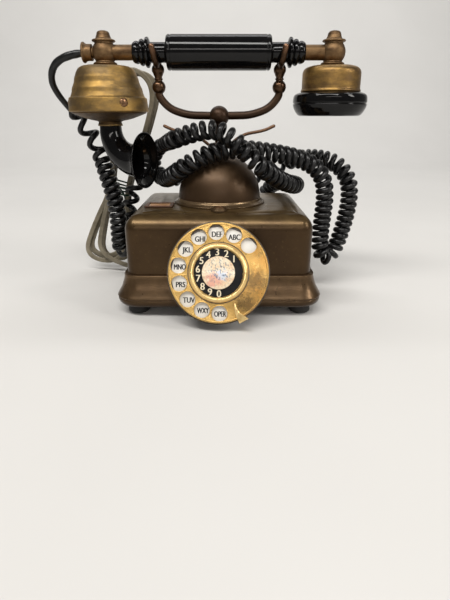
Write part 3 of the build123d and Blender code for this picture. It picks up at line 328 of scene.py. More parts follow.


# Case: pressed box with generously rounded top edges and a slightly raised top panel.
# The lacquer stays dark brown on the walls; the upper edge and top are a patchy golden olive as painted
# light from above.


def arc(middle, radius, start, end, steps=24):
    """Points (radius, height) on a circle about middle, from one angle to another in degrees."""
    angle = np.radians(np.linspace(start, end, steps))
    return np.stack([middle[0] + radius * np.cos(angle), middle[1] + radius * np.sin(angle)], -1)


edge_round, panel_inset, panel_end, wall, hole = 12.5, 13.0, -24.0, 2.5, 6.0
case_foot, case_top = case_low[2] - seam_drop, case_high[2]
shoulder = case_top - 0.6
ceiling = shoulder - wall
top_edge = arc((-edge_round, shoulder - edge_round), edge_round, 0, 90, 10)
panel = [(-panel_inset - 0.3, shoulder), (-panel_inset - 1.2, case_top), (panel_end, case_top)]
inside = [(panel_end, ceiling), (-edge_round, ceiling), (-wall, shoulder - edge_round)]
wall_foot = softened([(-wall, case_foot), (0, case_foot)], 0.2, 3)
outside = np.concatenate([wall_foot, top_edge, softened(panel, 0.7, 4)])
stem_hole = carried(0, 0, 0, [(hole, case_top), (hole, ceiling)])[0]
case_skin = [carried(*case_plan, outside)[0], stem_hole, carried(*case_plan, inside)[0]]
# Golden olive from the upper edge up: painted light from above.
case_bronze = bronze(
    "case_bronze", (0.036, 0.019, 0.0078), (0.060, 0.034, 0.0135), (0.185, 0.120, 0.048),
    0.0725, 0.0830, (0.27, 0.4),
)
case_skins = [(np.concatenate(case_skin), True, True)]
piece("case_shell", "base", case_skins, case_bronze, ["housing"])


# Name plate: a bare copper plate let into a small raised frame on the top panel.
# The frame is cast brown bronze; the plate is plain, polished and lightly scratched.

plate_low, plate_high = mm_box("name_plate")
plate_corner = 1.5
plate_plan = (*(plate_high - plate_low)[:2], plate_corner)
on_panel = at(*(plate_low + plate_high)[:2] / 2, plate_low[2])
frame_outline = softened(
    [(-3.4, 0), (0, 0), (0, 0.9), (-0.6, 1.4), (-2.6, 1.4), (-3.2, 0.8), (-3.4, 0.8)], 0.25, 4
)
sheet_outline = [(-3.5, 0.1), (-3.3, 0.1), (-3.3, 0.75), (-3.7, 0.85), (-9.9, 0.9), (-9.9, 0.1)]
frame_skin, sheet_skin = (carried(*plate_plan, o, on_panel) for o in (frame_outline, sheet_outline))
frame_bronze = bronze(
    "frame_bronze", (0.035, 0.019, 0.011), (0.06, 0.032, 0.019), (0.24, 0.12, 0.075), 0.0836, 0.0843
)
piece("name_plate_frame", "base", [frame_skin], frame_bronze, ["name_plate"])
copper = cloudy(
    "bright_copper", (220, 6, 0.7, (1, 6, 1)), ((0.3, (0.52, 0.25, 0.10)), (0.75, (0.80, 0.45, 0.20))),
    ((0.3, 0.38), (0.8, 0.2)), ((700, 5, 0.7, (1, 12, 1)), 0.0001, 0.3), Metallic=0.55,
)
piece("name_plate_sheet", "base", [sheet_skin], copper)


# Dome and its flange: a spun half sphere on a stepped flange, held by two lugs with screws.
# Same bronze lacquer as the case, with a painted highlight on the dome's upper half and painted sheen on
# the flange's step.


def lathe(name, body, slot, outline, place, turns, finish, *stands_for):
    """One piece turned from an outline."""
    return piece(name, body, [turned(outline, place, turns)], finish, stands_for)


def tongue(half_width, root, tip, side):
    """Plan of a lug: straight sides from the root that end in a half circle about the tip."""
    nose = arc((0, tip), half_width, 0, 180, 25)
    return np.concatenate([[(half_width, root)], nose, [(-half_width, root)]]) * (1, side)


def slab(plan, low, high, bevel=0.4, place=at(0, 0, 0)):
    """Skin of a flat piece: its plan raised from low to high, the upper edge drawn in on a curve
    towards the plan's middle, and both faces closed at the middle."""
    middle = plan.mean(0)
    reach = np.linalg.norm(plan - middle, axis=1, keepdims=True)
    curve = [(bevel * (1 - cos(a)), high - bevel * (1 - sin(a)), 1) for a in (0.4, 0.8, 1.2)]
    levels = [(0, low, 0), (0, low, 1), (0, high - bevel, 1), *curve, (bevel, high, 1), (0, high, 0)]
    inset, up, spread = np.array(levels).T[:, :, None, None]
    flat = middle + (plan - middle) * spread * (1 - inset / reach)
    up = np.broadcast_to(up, (*flat.shape[:2], 1))
    return place(np.concatenate([flat, up], -1)), False, True


def screw_head(radius, rise, slot, turn, place):
    """Round slotted head: a dome over a disc, cut by a straight groove through its middle."""
    share = np.concatenate([np.linspace(0, 0.97, 34), [1.0, 1.0]])[:, None]
    x, y = (radius * share * way for way in circle(96))
    dome = rise * (1 - 0.55 * share**2 - 0.45 * share**10)
    across = np.abs(x * sin(turn) - y * cos(turn))
    groove = np.clip((slot - across) / (0.25 * slot) + 0.5, 0, 1)
    up = dome - 0.55 * rise * groove * (share < 0.99)
    up[-2:] = [[0.25 * rise], [0.0]]
    return place(np.stack([x, y, up], -1)), False, True


dome_low, dome_high = mm_box("dome")
dome_foot, dome_top, dome_radius, dome_wall = dome_low[2], dome_high[2], half_size("dome", 0), 2.0
dome_middle = 0, dome_foot + 1.5
flat_angle = np.degrees(np.arccos(9.0 / dome_radius))
dome_edge = [(dome_radius - 0.3, dome_foot), (dome_radius, dome_foot + 0.3)]
dome_outline = [
    [(dome_radius - dome_wall, dome_foot), *dome_edge],
    arc(dome_middle, dome_radius, 0, flat_angle, 48),
    [(5.0, dome_top), (5.0, dome_top - dome_wall)],
    arc(dome_middle, dome_radius - dome_wall, flat_angle, 0, 24),
]
dome_outline = np.concatenate(dome_outline) * (1 - 1.2 / dome_radius, 1)
# Paler upper half of the dome: painted highlight from above.
dome_bronze = bronze(
    "dome_bronze", (0.044, 0.024, 0.011), (0.070, 0.040, 0.019), (0.120, 0.076, 0.042),
    0.098, 0.132, (0.4, 0.52),
)
on_axis = at(0, 0, 0)
lathe("dome_shell", "base", "bronze_paint", dome_outline, on_axis, 128, dome_bronze, "dome")
flange_low, flange_high = mm_box("dome_flange")
flange_base, edge, bore = flange_low[2], half_size("dome_flange", 0), 7.8
flange_steps = [(edge, 1.0), (edge - 0.8, 1.5), (edge - 2.0, 1.9), (edge - 3.2, 2.9), (edge - 3.8, 4.4)]
flange_outline = [(bore, 0), (edge, 0), *flange_steps, (edge - 4.6, 4.6), (bore, 3.2)]
flange_disc = turned(softened(flange_outline, 0.5, 5), at(0, 0, flange_base), 128)
lug_half, lug_thick = 6.5, 2.0
lug_tip = flange_high[1] - lug_half
lug_plans = [tongue(lug_half, edge - lug_half, lug_tip, side) for side in (-1, 1)]
flange_skins = [flange_disc, *(slab(plan, flange_base, flange_base + lug_thick) for plan in lug_plans)]
# Paler step of the flange: painted sheen.
flange_bronze = bronze(
    "flange_bronze", (0.070, 0.043, 0.021), (0.110, 0.070, 0.035), (0.260, 0.178, 0.098),
    0.0836, 0.0858, (0.24, 0.36),
)
piece("dome_flange_plate", "base", flange_skins, flange_bronze, ["dome_flange"])
seat_outline = softened([(4.1, 0), (6.3, 0), (6.2, 0.7), (5.5, 1.2), (4.7, 1.0), (4.1, 0.3)], 0.25, 4)
screw_bronze = bronze(
    "screw_bronze", (0.09, 0.046, 0.022), (0.17, 0.088, 0.042), (0.30, 0.165, 0.085),
    0.0855, 0.0868, (0.26, 0.4),
)
for side, name in ((-1, "front"), (1, "rear")):
    on_lug = at(0, side * lug_tip, flange_base + lug_thick - 0.05)
    head = screw_head(3.9, 1.8, 0.6, 0.35 * side, on_lug)
    piece(f"lug_screw_{name}", "base", [head], screw_bronze)
    lathe(f"lug_screw_seat_{name}", "base", "bronze_paint", seat_outline, on_lug, 56, plinth_bronze)


# Stem collar: a turned bush on the dome that guides the stem, with two thin cord rests of wire.
# The rests sweep out and up to both sides; bronze lacquer, paler towards their tips.


def filleted(points, radius, steps=10):
    """Path of straight runs with rounded corners."""
    p = np.array(points, float)
    curves = rounded(p[:-2], p[1:-1], p[2:], radius, 0.48, steps)
    return np.concatenate([p[:1], curves, p[-1:]])


def unit(ways):
    """Directions made one long."""
    return ways / np.linalg.norm(ways, axis=-1, keepdims=True)


def level_frames(path, lean=(0.31, 0.83, 0.46)):
    """Unit tangents along a path and a side, first in the lean's direction, that turns as little as
    it can from point to point."""
    ahead = unit(np.gradient(path, axis=0))
    sides = [np.array(lean)]
    for way in ahead:
        sides.append(unit(sides[-1] - way * (sides[-1] @ way)))
    return ahead, np.array(sides[1:])


def rod(path, radius, sides=20, round_ends=True):
    """Tube skin: a circle of a radius, or of a radius per point, carried along a path, its ends
    closed by half spheres or by flat faces."""
    radius = np.broadcast_to(np.asarray(radius, float), (len(path),))
    swing = np.radians([90, 72, 54, 36, 18])[:, None]
    beyond, spread = (np.sin(swing), np.cos(swing)) if round_ends else np.zeros((2, 1, 1))
    extra = (len(spread), len(spread)), (0, 0)
    ahead, side = (np.pad(way, extra, "edge") for way in level_frames(path))
    tail = path[0] - ahead[0] * radius[0] * beyond
    nose = path[-1] + ahead[-1] * radius[-1] * beyond[::-1]
    path = np.concatenate([tail, path, nose])
    radius = np.concatenate([radius[0] * spread, radius[:, None], radius[-1] * spread[::-1]])
    c, s = (way[:, None] for way in circle(sides))
    swing = side[:, None] * c + np.cross(ahead, side)[:, None] * s
    return path[:, None] + swing * radius[:, None], False, True


stem_radius = half_size("cradle_stem", 0)
bore = stem_radius + 0.1
collar_foot = [(bore, 0), (8.5, 0), (8.5, 1.6), (6.5, 2.6)]
collar_head = [(6.5, 6.4), (7.0, 6.8), (7.0, 7.8), (5.5, 9.4), (bore, 9.4)]
collar_outline = softened(collar_foot + collar_head, 0.4, 5)
cradle_bronze = bronze(
    "cradle_bronze", (0.022, 0.0105, 0.0046), (0.040, 0.0195, 0.0090), (0.070, 0.038, 0.019),
    0.150, 0.190, (0.38, 0.52),
)
on_dome = at(0, 0, dome_top)
lathe("stem_bush", "base", "bronze_paint", collar_outline, on_dome, 72, cradle_bronze, "stem_collar")
rest_reach = mm_box("stem_collar")[1][0] - 1.2
rest_inner = [(stem_radius + 1.4, 0, 0), (0.42 * rest_reach, 0, 11.6)]
rest_outer = [(0.82 * rest_reach, 0, 14.6), (rest_reach, 0, 18.4)]
rest_route = np.array(rest_inner + rest_outer) + (0, 0, dome_top + 4.4)
rests = [rod(filleted(rest_route * (side, 1, 1), 8.0), 1.35, 16) for side in (-1, 1)]
rest_bronze = bronze(
    "rest_bronze", (0.070, 0.034, 0.018), (0.125, 0.066, 0.036), (0.20, 0.112, 0.062), 0.138, 0.150
)
piece("cord_rest_wires", "base", rests, rest_bronze)


# Cradle: sprung stem, hub ball, two swept arms and two forks that carry the handset.
# Bronze lacquer again, worn to coppery metal on the prong tips that the handset rubs.


def worn_prongs():
    """Brown bronze, patchily rubbed to copper towards the tips."""
    finish = Finish("prong_bronze", Metallic=0.9, Coat_Weight=0.1, Coat_Roughness=0.2)
    base = finish.ramp((60, 6, 0.65), (0.3, (0.034, 0.0165, 0.0075)), (0.75, (0.085, 0.044, 0.021)))
    up = finish.rise("Z", 0.199, 0.2095)
    pale_top = finish.times(up, finish.ramp((260, 5, 0.7), (0.3, 0.3), (0.65, 1.0)))
    gloss = finish.ramp((300, 4), (0.3, 0.24), (0.75, 0.42))
    return finish.show(finish.mix(pale_top, base, (0.34, 0.18, 0.105)), gloss, ((1300, 4), 0.0001, 0.3))


def along_x(x, z, side=1, y=0.0):
    """Lay a skin turned about its axis with that axis along X, pointing to one side."""

    def place(points):
        r, s, h = np.moveaxis(points, -1, 0)
        return np.stack([x + side * h, y + side * r, z + s], -1)

    return place


prong_bronze = worn_prongs()
stem_foot = mm_box("cradle_stem")[0][2]
hub_radius = half_size("cradle_hub", 1)
hub_z = mm_box("cradle_hub")[1][2] - hub_radius
stem_head = hub_z - 6.5
stem_outline = [(0, stem_foot), (stem_radius, stem_foot), (stem_radius, stem_head), (0, stem_head)]
stem_outline = softened(stem_outline, 0.5)
lathe("cradle_post", "cradle", "bronze_paint", stem_outline, on_axis, 48, cradle_bronze, "cradle_stem")
hub_foot = softened([(0, -6.5), (4.6, -6.5), (5.4, -7.0), (5.4, -5.9)], 0.2, 3)
hub_outline = np.concatenate([hub_foot, arc((0, 0), hub_radius, -44, 90, 40)])
at_hub = at(0, 0, hub_z)
lathe("cradle_ball", "cradle", "bronze_paint", hub_outline, at_hub, 72, cradle_bronze, "cradle_hub")
arm_z, arm_radius = hub_z + 0.5, half_size("cradle_arm_right", 1)
fork_low, fork_high = mm_box("cradle_fork_right")
fork_x, urn_radius, prong_radius, prong_lean = 49.8, 5.6, 2.4, 2.6
urn_z = fork_low[2] + 0.82 * urn_radius
tip_z = fork_high[2] - prong_radius
prong_seat = tip_z - 16.2
arm_bend = [(4.2, 0, arm_z), (0.52 * fork_x, 0, arm_z + 0.4), (fork_x - 8.6, 0, arm_z + 5.2)]
arm_rise = [(fork_x, 0, arm_z + 0.66 * (urn_z - arm_z)), (fork_x, 0, urn_z - 2.4)]
prong_half = [(fork_x + prong_lean, 14.0, tip_z - 3.4), (fork_x, 10.5, prong_seat)]
yoke = [*(np.array(prong_half) * (1, -1, 1)), *prong_half[::-1]]
bulb = urn_radius + 1.3
shank = [
    [(0, -4.5), (3.3, -4.5)],
    arc((0, 0), urn_radius, -53, 57, 26),
    softened([(2.95, bulb - 1.7), (3.6, bulb - 1.3), (3.6, bulb - 0.5), (2.95, bulb)], 0.3, 4),
    [(3.1, bulb + 0.8), (3.7, bulb + 1.9)],
    arc((0, bulb + 6.1), 5.1, -38, 90, 26),
]
for side, name in ((-1, "left"), (1, "right")):
    mirror = side, 1, 1
    arm = rod(filleted(np.array(arm_bend + arm_rise) * mirror, 7.0, 16), arm_radius, 28, False)
    arm_node, fork_node = f"cradle_arm_{name}", f"cradle_fork_{name}"
    piece(f"cradle_arm_rod_{name}", "cradle", [arm], cradle_bronze, [arm_node])
    prongs = rod(filleted(np.array(yoke) * mirror, 7.0, 16), prong_radius, 24)
    skins = [turned(np.concatenate(shank), at(side * fork_x, 0, urn_z), 64), prongs]
    piece(f"cradle_fork_rest_{name}", "cradle", skins, prong_bronze, [fork_node])


# Dial: dark cup, white letter plate, gold finger wheel, bezel, number card and finger stop.
# Stamped metal, gold plated or enamelled, with printed cards; all of it is laid out on the tilted
# dial plane: right, up the face, and out of the front.

tilt = radians(20)
dial_origin = np.array([0, -case_depth / 2 - 25.0, 44.5])
dial_axes = np.array([(1, 0, 0), (0, sin(tilt), cos(tilt)), (0, -cos(tilt), sin(tilt))])


def on_dial(right=0.0, up=0.0, out=0.0):
    """Lay a skin on the dial plane, moved right, up the face and out of it."""
    return lambda points: (points + np.array([right, up, out])) @ dial_axes + dial_origin


def metres(point):
    """A point in millimetres as plain numbers in metres."""
    return tuple(float(value) * 0.001 for value in point)


def dial_spot(right, up):
    """A point of the dial plane, in metres."""
    return metres(on_dial(right, up)(np.zeros(3)))


def tarnished_gold():
    """Gold plate, warm and bright, rubbed to orange on its right side, where two brown stains lie."""
    finish = Finish("tarnished_gold", Metallic=0.72)
    bright = finish.ramp((90, 5, 0.55), (0.3, (0.56, 0.350, 0.100)), (0.75, (0.67, 0.440, 0.150)))
    right = finish.rise("X", 0.002, 0.03)
    spread = finish.times(right, finish.ramp((60, 7, 0.7), (0.4, 0.0), (0.66, 0.9)))
    oranges = (0.32, (0.20, 0.120, 0.045)), (0.46, (0.52, 0.25, 0.055)), (0.7, (0.68, 0.38, 0.10))
    toned = finish.mix(spread, bright, finish.ramp((110, 7, 0.72), *oranges))
    grain = finish.ramp((420, 6, 0.7), (0.36, 0.25), (0.6, 1.0))
    for right, up, reach in ((28.0, -6.0, 0.0125), (20.0, -22.5, 0.0115)):
        stain = finish.times(finish.spot(dial_spot(right, up), reach), grain)
        toned = finish.mix(finish.ramp(stain, (0.08, 0.0), (0.45, 0.85)), toned, (0.17, 0.105, 0.040))
    gloss = finish.ramp((240, 5, 0.6), (0.3, 0.24), (0.75, 0.38))
    return finish.show(toned, gloss, ((700, 4, 0.6), 0.00003, 0.2))


def printed(name, colour, grain):
    """Matt print with a faintly uneven tone."""
    pale = tuple(min(1.0, 1.35 * value + 0.01) for value in colour)
    tones, gloss = ((0.3, colour), (0.8, pale)), ((0.3, 0.4), (0.8, 0.6))
    return cloudy(name, (grain, 5), tones, gloss, None, (grain * 3, 4), Specular_IOR_Level=0.06)


gold = tarnished_gold()
bright_gold = cloudy(
    "polished_gold", (260, 5, 0.6, (1, 3, 1)), ((0.3, (0.70, 0.47, 0.17)), (0.75, (0.86, 0.64, 0.30))),
    ((0.3, 0.16), (0.75, 0.28)), ((700, 4, 0.6), 0.00003, 0.2), Metallic=0.6,
)
# Black lacquer of the dial cup; the same material paints the shadow ring round the bezel.
cup_lacquer_and_shadow = cloudy(
    "cup_lacquer_and_painted_shadow", (80, 5), ((0.3, (0.030, 0.020, 0.011)), (0.8, (0.075, 0.050, 0.026))),
    ((0.3, 0.3), (0.8, 0.5)), ((1100, 4), 0.0001, 0.3), Metallic=0.35, Coat_Weight=0.4, Coat_Roughness=0.2,
)
enamel = cloudy(
    "letter_enamel", (60, 5), ((0.3, (0.66, 0.64, 0.58)), (0.7, (0.82, 0.81, 0.77))),
    ((0.3, 0.25), (0.7, 0.4)), Coat_Weight=0.5, Coat_Roughness=0.08,
)
cup_back = [(3.2, -6.5), (37.2, -6.5), (24.0, -19.9), (24.0, -32.0), (26.0, -32.0), (26.0, -20.9)]
cup_side = [(30.5, -16.6), (35.6, -11.6), (39.2, -7.4), (39.2, -2.4)]
cup_floor = [(37.5, -2.4), (37.5, -4.5), (3.2, -4.5)]
cup_outline = softened(cup_back + cup_side + cup_floor, 0.5, 5)
lathe("dial_cup_bowl", "base", "dark_metal", cup_outline, on_dial(), 128, cup_lacquer_and_shadow, "dial_cup")
letter_face, plate_back, plate_inner, plate_outer = -2.7, -4.5, 8.0, 35.9
plate_outline = [(r, plate_back) for r in (plate_inner, plate_outer)]
plate_outline = softened(plate_outline + [(r, letter_face) for r in (plate_outer, plate_inner)], 0.15, 3)
plate_place = on_dial(0.3, -1.3)
lathe("letter_plate_disc", "base", "enamel_white", plate_outline, plate_place, 96, enamel, "letter_plate")


def meshed(name, curve):
    """Mesh of a curve."""
    holder = linked(name, curve)
    mesh = bpy.data.meshes.new_from_object(holder.evaluated_get(bpy.context.evaluated_depsgraph_get()))
    bpy.data.objects.remove(holder)
    return mesh


def flat_mesh(name, curve, thickness, bevel):
    """Mesh of a filled flat curve of a thickness with rounded edges, its doubles merged."""
    curve.dimensions = "2D"
    curve.fill_mode = "BOTH"
    curve.extrude = max(thickness / 2 - bevel, 0.0)
    curve.bevel_depth = bevel
    curve.bevel_resolution = 3
    return cleaned(meshed(name + "_outline", curve), 1e-4)


def vertices_of(mesh):
    """A mesh's points, one row each."""
    points = np.empty(3 * len(mesh.vertices))
    mesh.vertices.foreach_get("co", points)
    return points.reshape(-1, 3)


def circle_spline(curve, middle, radius, count):
    """Closed run of straight edges round a circle, in millimetres."""
    points = np.zeros((count, 4))
    points[:, :2] = np.array(middle) + radius * np.stack(circle(count), -1)
    spline = curve.splines.new("POLY")
    spline.points.add(count - 1)
    spline.points.foreach_set("co", points.ravel())
    spline.use_cyclic_u = True


wheel_radius, wheel_thick, wheel_bevel = half_size("finger_wheel", 0), 1.6, 0.3
hole_angles = np.radians(42.0 + 25.5 * np.arange(10))
hole_ways = np.stack([np.cos(hole_angles), np.sin(hole_angles)], -1)
hole_radius, hole_circle = 5.95, 30.7
hole_spots = hole_circle * hole_ways
wheel_curve = bpy.data.curves.new("finger_wheel_plan", "CURVE")
circle_spline(wheel_curve, (0, 0), wheel_radius - wheel_bevel, 160)
for spot in hole_spots:
    circle_spline(wheel_curve, spot, hole_radius + wheel_bevel, 56)
wheel_mesh = flat_mesh("finger_wheel", wheel_curve, wheel_thick, wheel_bevel)
wheel_points = on_dial(0, 0, -wheel_thick / 2)(vertices_of(wheel_mesh)) * 0.001
wheel_mesh.vertices.foreach_set("co", wheel_points.ravel())
settle("finger_wheel_disc", "dial", wheel_mesh, gold, ["finger_wheel"], 14)
lip_shape = np.array([(0.0, -0.2), (0.8, -0.2), (0.6, 0.22), (0.25, 0.3), (0.0, 0.1)])
lip = softened(lip_shape + (hole_radius, 0), 0.2, 5)
rim = softened([(36.3, -0.3), (37.9, -0.9), (37.9, -0.2), (37.2, 0.35), (36.5, 0.3)], 0.3, 5)
lips = [turned(lip, on_dial(*spot), 56) for spot in hole_spots]
piece("finger_wheel_lips", "dial", [*lips, turned(rim, on_dial(), 160)], gold)
bezel_outline = softened(
    [(18.6, 0), (22.8, 0), (22.6, 1.0), (21.9, 2.2), (20.6, 3.0), (19.4, 2.9), (18.6, 1.6)], 0.5, 5
)
pin = softened([(0, 0), (0.9, 0), (0.9, 0.7), (0.5, 1.1), (0, 1.1)], 0.2, 4)
pin_away, pin_level = 20.6, 2.6
pins = [turned(pin, on_dial(right, 0, pin_level), 24) for right in (pin_away, -pin_away)]
bezel_skins = [turned(bezel_outline, on_dial(), 128), *pins]
piece("number_bezel", "dial", bezel_skins, bright_gold, ["card_ring"])
# Dark ring on the wheel face round the bezel, in the cup's black lacquer: painted shadow of the groove
# where the bezel meets the wheel.
shadow_ring_outline = softened([(22.6, -0.1), (23.4, -0.1), (23.4, 0.08), (22.6, 0.08)], 0.05, 3)
lathe("bezel_painted_shadow_ring", "dial", "dark_metal", shadow_ring_outline, on_dial(), 128, cup_lacquer_and_shadow)
card_outline = softened([(0, 0), (18.4, 0), (18.4, 0.8), (0, 0.8)], 0.1, 3)
black_print = printed("card_black", (0.010, 0.010, 0.011), 150)
cream_print = printed("numeral_cream", (0.62, 0.55, 0.40), 300)
ink_print = printed("letter_ink", (0.012, 0.012, 0.013), 400)
lathe("number_card_disc", "dial", "card_black", card_outline, on_dial(), 96, black_print, "number_card")


def lettering(name, body, words, size, radius, shift, level, weight, finish):
    """Flat printed words at the finger-hole angles: each is cut from text, laid on the dial plane
    and printed three times, moved sideways by the weight, for a bold stroke."""
    points, faces, count = [], [], 0
    for word, way in zip(words, hole_ways):
        if not word:
            continue
        text = bpy.data.curves.new(name + word, "FONT")
        text.body, text.size, text.resolution_u = word, 10.0, 6
        mesh = flat_mesh(name + word, text, 0.02, 0.0)
        flat = vertices_of(mesh)
        flat = (flat - (flat.min(0) + flat.max(0)) / 2) * (0.1 * size[0], 0.1 * size[1], 1)
        flat[:, 0] *= min(1.0, 8.8 / np.ptp(flat[:, 0]))
        right, up = radius * way + shift
        for copy in (-1, 0, 1):
            points.append(on_dial(right + copy * weight, up, level + copy * 0.006)(flat))
            faces += [tuple(v + count for v in face.vertices) for face in mesh.polygons]
            count += len(flat)
        bpy.data.meshes.remove(mesh)
    mesh = bpy.data.meshes.new(name)
    mesh.from_pydata((np.concatenate(points) * 0.001).tolist(), [], faces)
    return settle(name, body, mesh, finish)


digits, digit_size, digit_circle = "1234567890", (7.0, 7.5), 15.65
lettering(
    "dial_numerals", "dial", digits, digit_size, digit_circle, (0, 0), 0.83, 0.15, cream_print
)
groups = ["", "ABC", "DEF", "GHI", "JKL", "MNO", "PRS", "TUV", "WXY", "OPER"]
group_size, group_circle, group_shift, level = (4.7, 5.9), 30.2, (0.5, -0.9), letter_face + 0.06
lettering(
    "dial_letters", "base", groups, group_size, group_circle, group_shift, level,
    0.19, ink_print,
)


def centre_print():
    """Round printed card: cream ground, a rose bank at lower left, pale blue right of the middle,
    and fine grey-blue flecks strewn over it."""
    finish = Finish("centre_card_print", Coat_Weight=0.5, Coat_Roughness=0.08)
    creams = (0.35, (0.70, 0.47, 0.30)), (0.5, (0.76, 0.62, 0.42)), (0.68, (0.80, 0.74, 0.60))
    wavy = finish.ramp((300, 5, 0.65), (0.4, 0.25), (0.6, 1.0))
    rose = finish.times(finish.spot(dial_spot(-3.0, -4.8), 0.0088), wavy)
    rose = finish.ramp(rose, (0.12, 0.0), (0.3, 1.0))
    sky = finish.times(finish.spot(dial_spot(3.0, -1.0), 0.0074), wavy)
    sky = finish.ramp(sky, (0.15, 0.0), (0.4, 0.9))
    tone = finish.mix(rose, finish.ramp((240, 4, 0.6), *creams), (0.72, 0.38, 0.27))
    tone = finish.mix(sky, tone, (0.55, 0.62, 0.72))
    fleck = finish.ramp((820, 5, 0.6, (1, 1, 0.6)), (0.53, 0.0), (0.60, 0.9))
    gather = finish.ramp(finish.spot(dial_spot(1.2, 1.5), 0.0130), (0.1, 0.3), (0.55, 1.0))
    tone = finish.mix(finish.times(fleck, gather), tone, (0.11, 0.15, 0.22))
    return finish.show(tone, finish.ramp((200, 3), (0.3, 0.3), (0.8, 0.45)))


def spin(turn):
    """Turn of points about their own Z."""
    return np.array([(cos(turn), sin(turn), 0), (-sin(turn), cos(turn), 0), (0, 0, 1)])


centre_outline = softened([(0, 0.8), (12.5, 0.8), (12.5, 1.1), (12.2, 1.4), (0, 1.5)], 0.1, 3)
card_print = centre_print()
lathe("centre_card_disc", "dial", "card_cream", centre_outline, on_dial(), 96, card_print, "centre_card")
stop_run = np.linspace(0, 1, 24)
stop_middle = -2.0 * np.sin(pi * stop_run) * (1 - 0.4 * stop_run)
stop_half = 0.5 + 3.4 * stop_run**1.3
stop_reach = 25.6 + 15.4 * stop_run
stop_sides = [np.stack([stop_reach, stop_middle + way * stop_half], -1) for way in (1, -1)]
stop_plan = np.concatenate([stop_sides[0], stop_sides[1][::-1]])
leg_plan = softened([(39.5, -3.4), (41.0, -3.4), (41.0, 3.4), (39.5, 3.4)], 0.3, 4)


def at_stop(points):
    """Lay a skin on the dial plane, turned to the finger stop's angle."""
    return on_dial()(points @ spin(radians(-62)))


stop_skins = [slab(stop_plan[::-1], 0.9, 2.5, 0.5, at_stop), slab(leg_plan, -7.5, 1.8, 0.3, at_stop)]
piece("finger_stop_hook", "base", stop_skins, bright_gold, ["finger_stop"])


# Handset: black turned grip on a brass tube, with a ball fitting and finial at each end.
# The grip is gloss black moulding; the metal is brass, browned where it isn't handled.


def brass(name, dark, bright, tarnish, rough=(0.22, 0.42), patches=60):
    """Worn brass: bright metal under patchy tarnish, with finely scratched gloss."""
    finish = Finish(name, Metallic=0.9, Specular_IOR_Level=0.3)
    metal = finish.ramp((patches * 2.3, 6, 0.65), (0.3, dark), (0.75, bright))
    cloud = finish.ramp((patches, 7, 0.7, (1, 1, 2.2)), (0.42, 0.0), (0.6, 1.0))
    gloss = finish.ramp((260, 5, 0.65), (0.3, rough[0]), (0.75, rough[1]))
    return finish.show(finish.mix(cloud, metal, tarnish), gloss, ((1000, 5, 0.7), 0.0001, 0.3))


black_gloss = cloudy(
    "gloss_black_moulding", (140, 6, 0.65),
    ((0.3, (0.0018, 0.0018, 0.0022)), (0.85, (0.005, 0.0046, 0.0043))),
    ((0.35, 0.06), (0.8, 0.14)), ((320, 4), 0.00004, 0.2), Specular_IOR_Level=0.26,
)
yellow_brass = brass(
    "yellow_brass", (0.28, 0.170, 0.052), (0.46, 0.285, 0.085), (0.165, 0.110, 0.050), (0.42, 0.6), 30
)
brown_brass = brass(
    "brown_brass", (0.14, 0.082, 0.038), (0.24, 0.150, 0.074), (0.095, 0.055, 0.028), (0.42, 0.6)
)
olive_brass = brass(
    "olive_brass", (0.27, 0.160, 0.047), (0.38, 0.230, 0.072), (0.165, 0.100, 0.042), (0.36, 0.52), 40
)
tube_low, tube_high = mm_box("handle_tube")
handset_z, tube_end = (tube_low[2] + tube_high[2]) / 2, tube_high[0]
tube_outline = softened([(4.0, -tube_end), (5.75, -tube_end), (5.75, tube_end), (4.0, tube_end)], 0.2)
lying = along_x(0, handset_z)
lathe("handle_brass_tube", "handset", "brown_brass", tube_outline, lying, 56, brown_brass, "handle_tube")
grip, grip_end = half_size("handle_grip", 1), 42.0
grip_groove = [(grip, -3.6), (grip - 0.3, -3.35), (grip - 0.3, -2.65), (grip, -2.4)]
grip_neck = [(grip, -1.2), (grip - 0.9, 0), (8.1, 0.5), (7.5, 1.4), (7.5, 13.2)]
grip_beads = [(9.7, 13.9), (11.1, 14.6), (11.4, 15.6), (11.0, 16.8), (8.4, 17.7), (9.5, 18.5), (10.0, 19.9)]
grip_tip = [(9.5, 21.3), (7.7, 22.2), (8.2, 22.9), (8.5, 24.2), (8.1, 25.7), (7.0, 27.4), (5.8, 27.4)]
grip_half = np.array(grip_groove + grip_neck + grip_beads + grip_tip) + (0, grip_end)
grip_outline = softened(np.concatenate([(grip_half * (1, -1))[::-1], grip_half]), 0.45, 4)
lathe("handle_black_grip", "handset", "gloss_black", grip_outline, lying, 96, black_gloss, "handle_grip")
ball_x, ball_radius, drop = 92.4, 9.7, -9.8
waist = ball_radius - 2.3
ball_rise = (ball_radius**2 - waist**2) ** 0.5
half_turn = np.degrees(np.arcsin(ball_rise / ball_radius))
finial_seat = ball_rise + 1.3
ball_lip = [(9.2, drop + 0.9), (9.6, drop + 1.6), (9.1, drop + 2.3), (waist, -ball_rise - 0.5)]
fitting_outline = [
    softened([(3.2, drop), (8.3, drop), (8.2, drop + 0.8)], 0.2, 3),
    softened(ball_lip, 0.4, 4),
    arc((0, 0), ball_radius, -half_turn, half_turn, 28),
    [(waist, finial_seat), (3.2, finial_seat)],
]
fitting_outline = np.concatenate(fitting_outline)
for side, name in ((-1, "left"), (1, "right")):
    ball_name, ball_node = f"ball_fitting_turned_{name}", f"ball_fitting_{name}"
    here = at(side * ball_x, 0, handset_z)
    lathe(ball_name, "handset", "worn_brass", fitting_outline, here, 80, brown_brass, ball_node)
finial_foot = [(0, 0), (8.9, 0), (9.4, 0.7), (8.9, 1.5), (6.5, 2.1), (5.9, 3.3)]
finial_head = [(5.3, 5.0), (5.0, 6.3), (4.1, 7.4), (2.4, 8.0), (0, 8.1)]
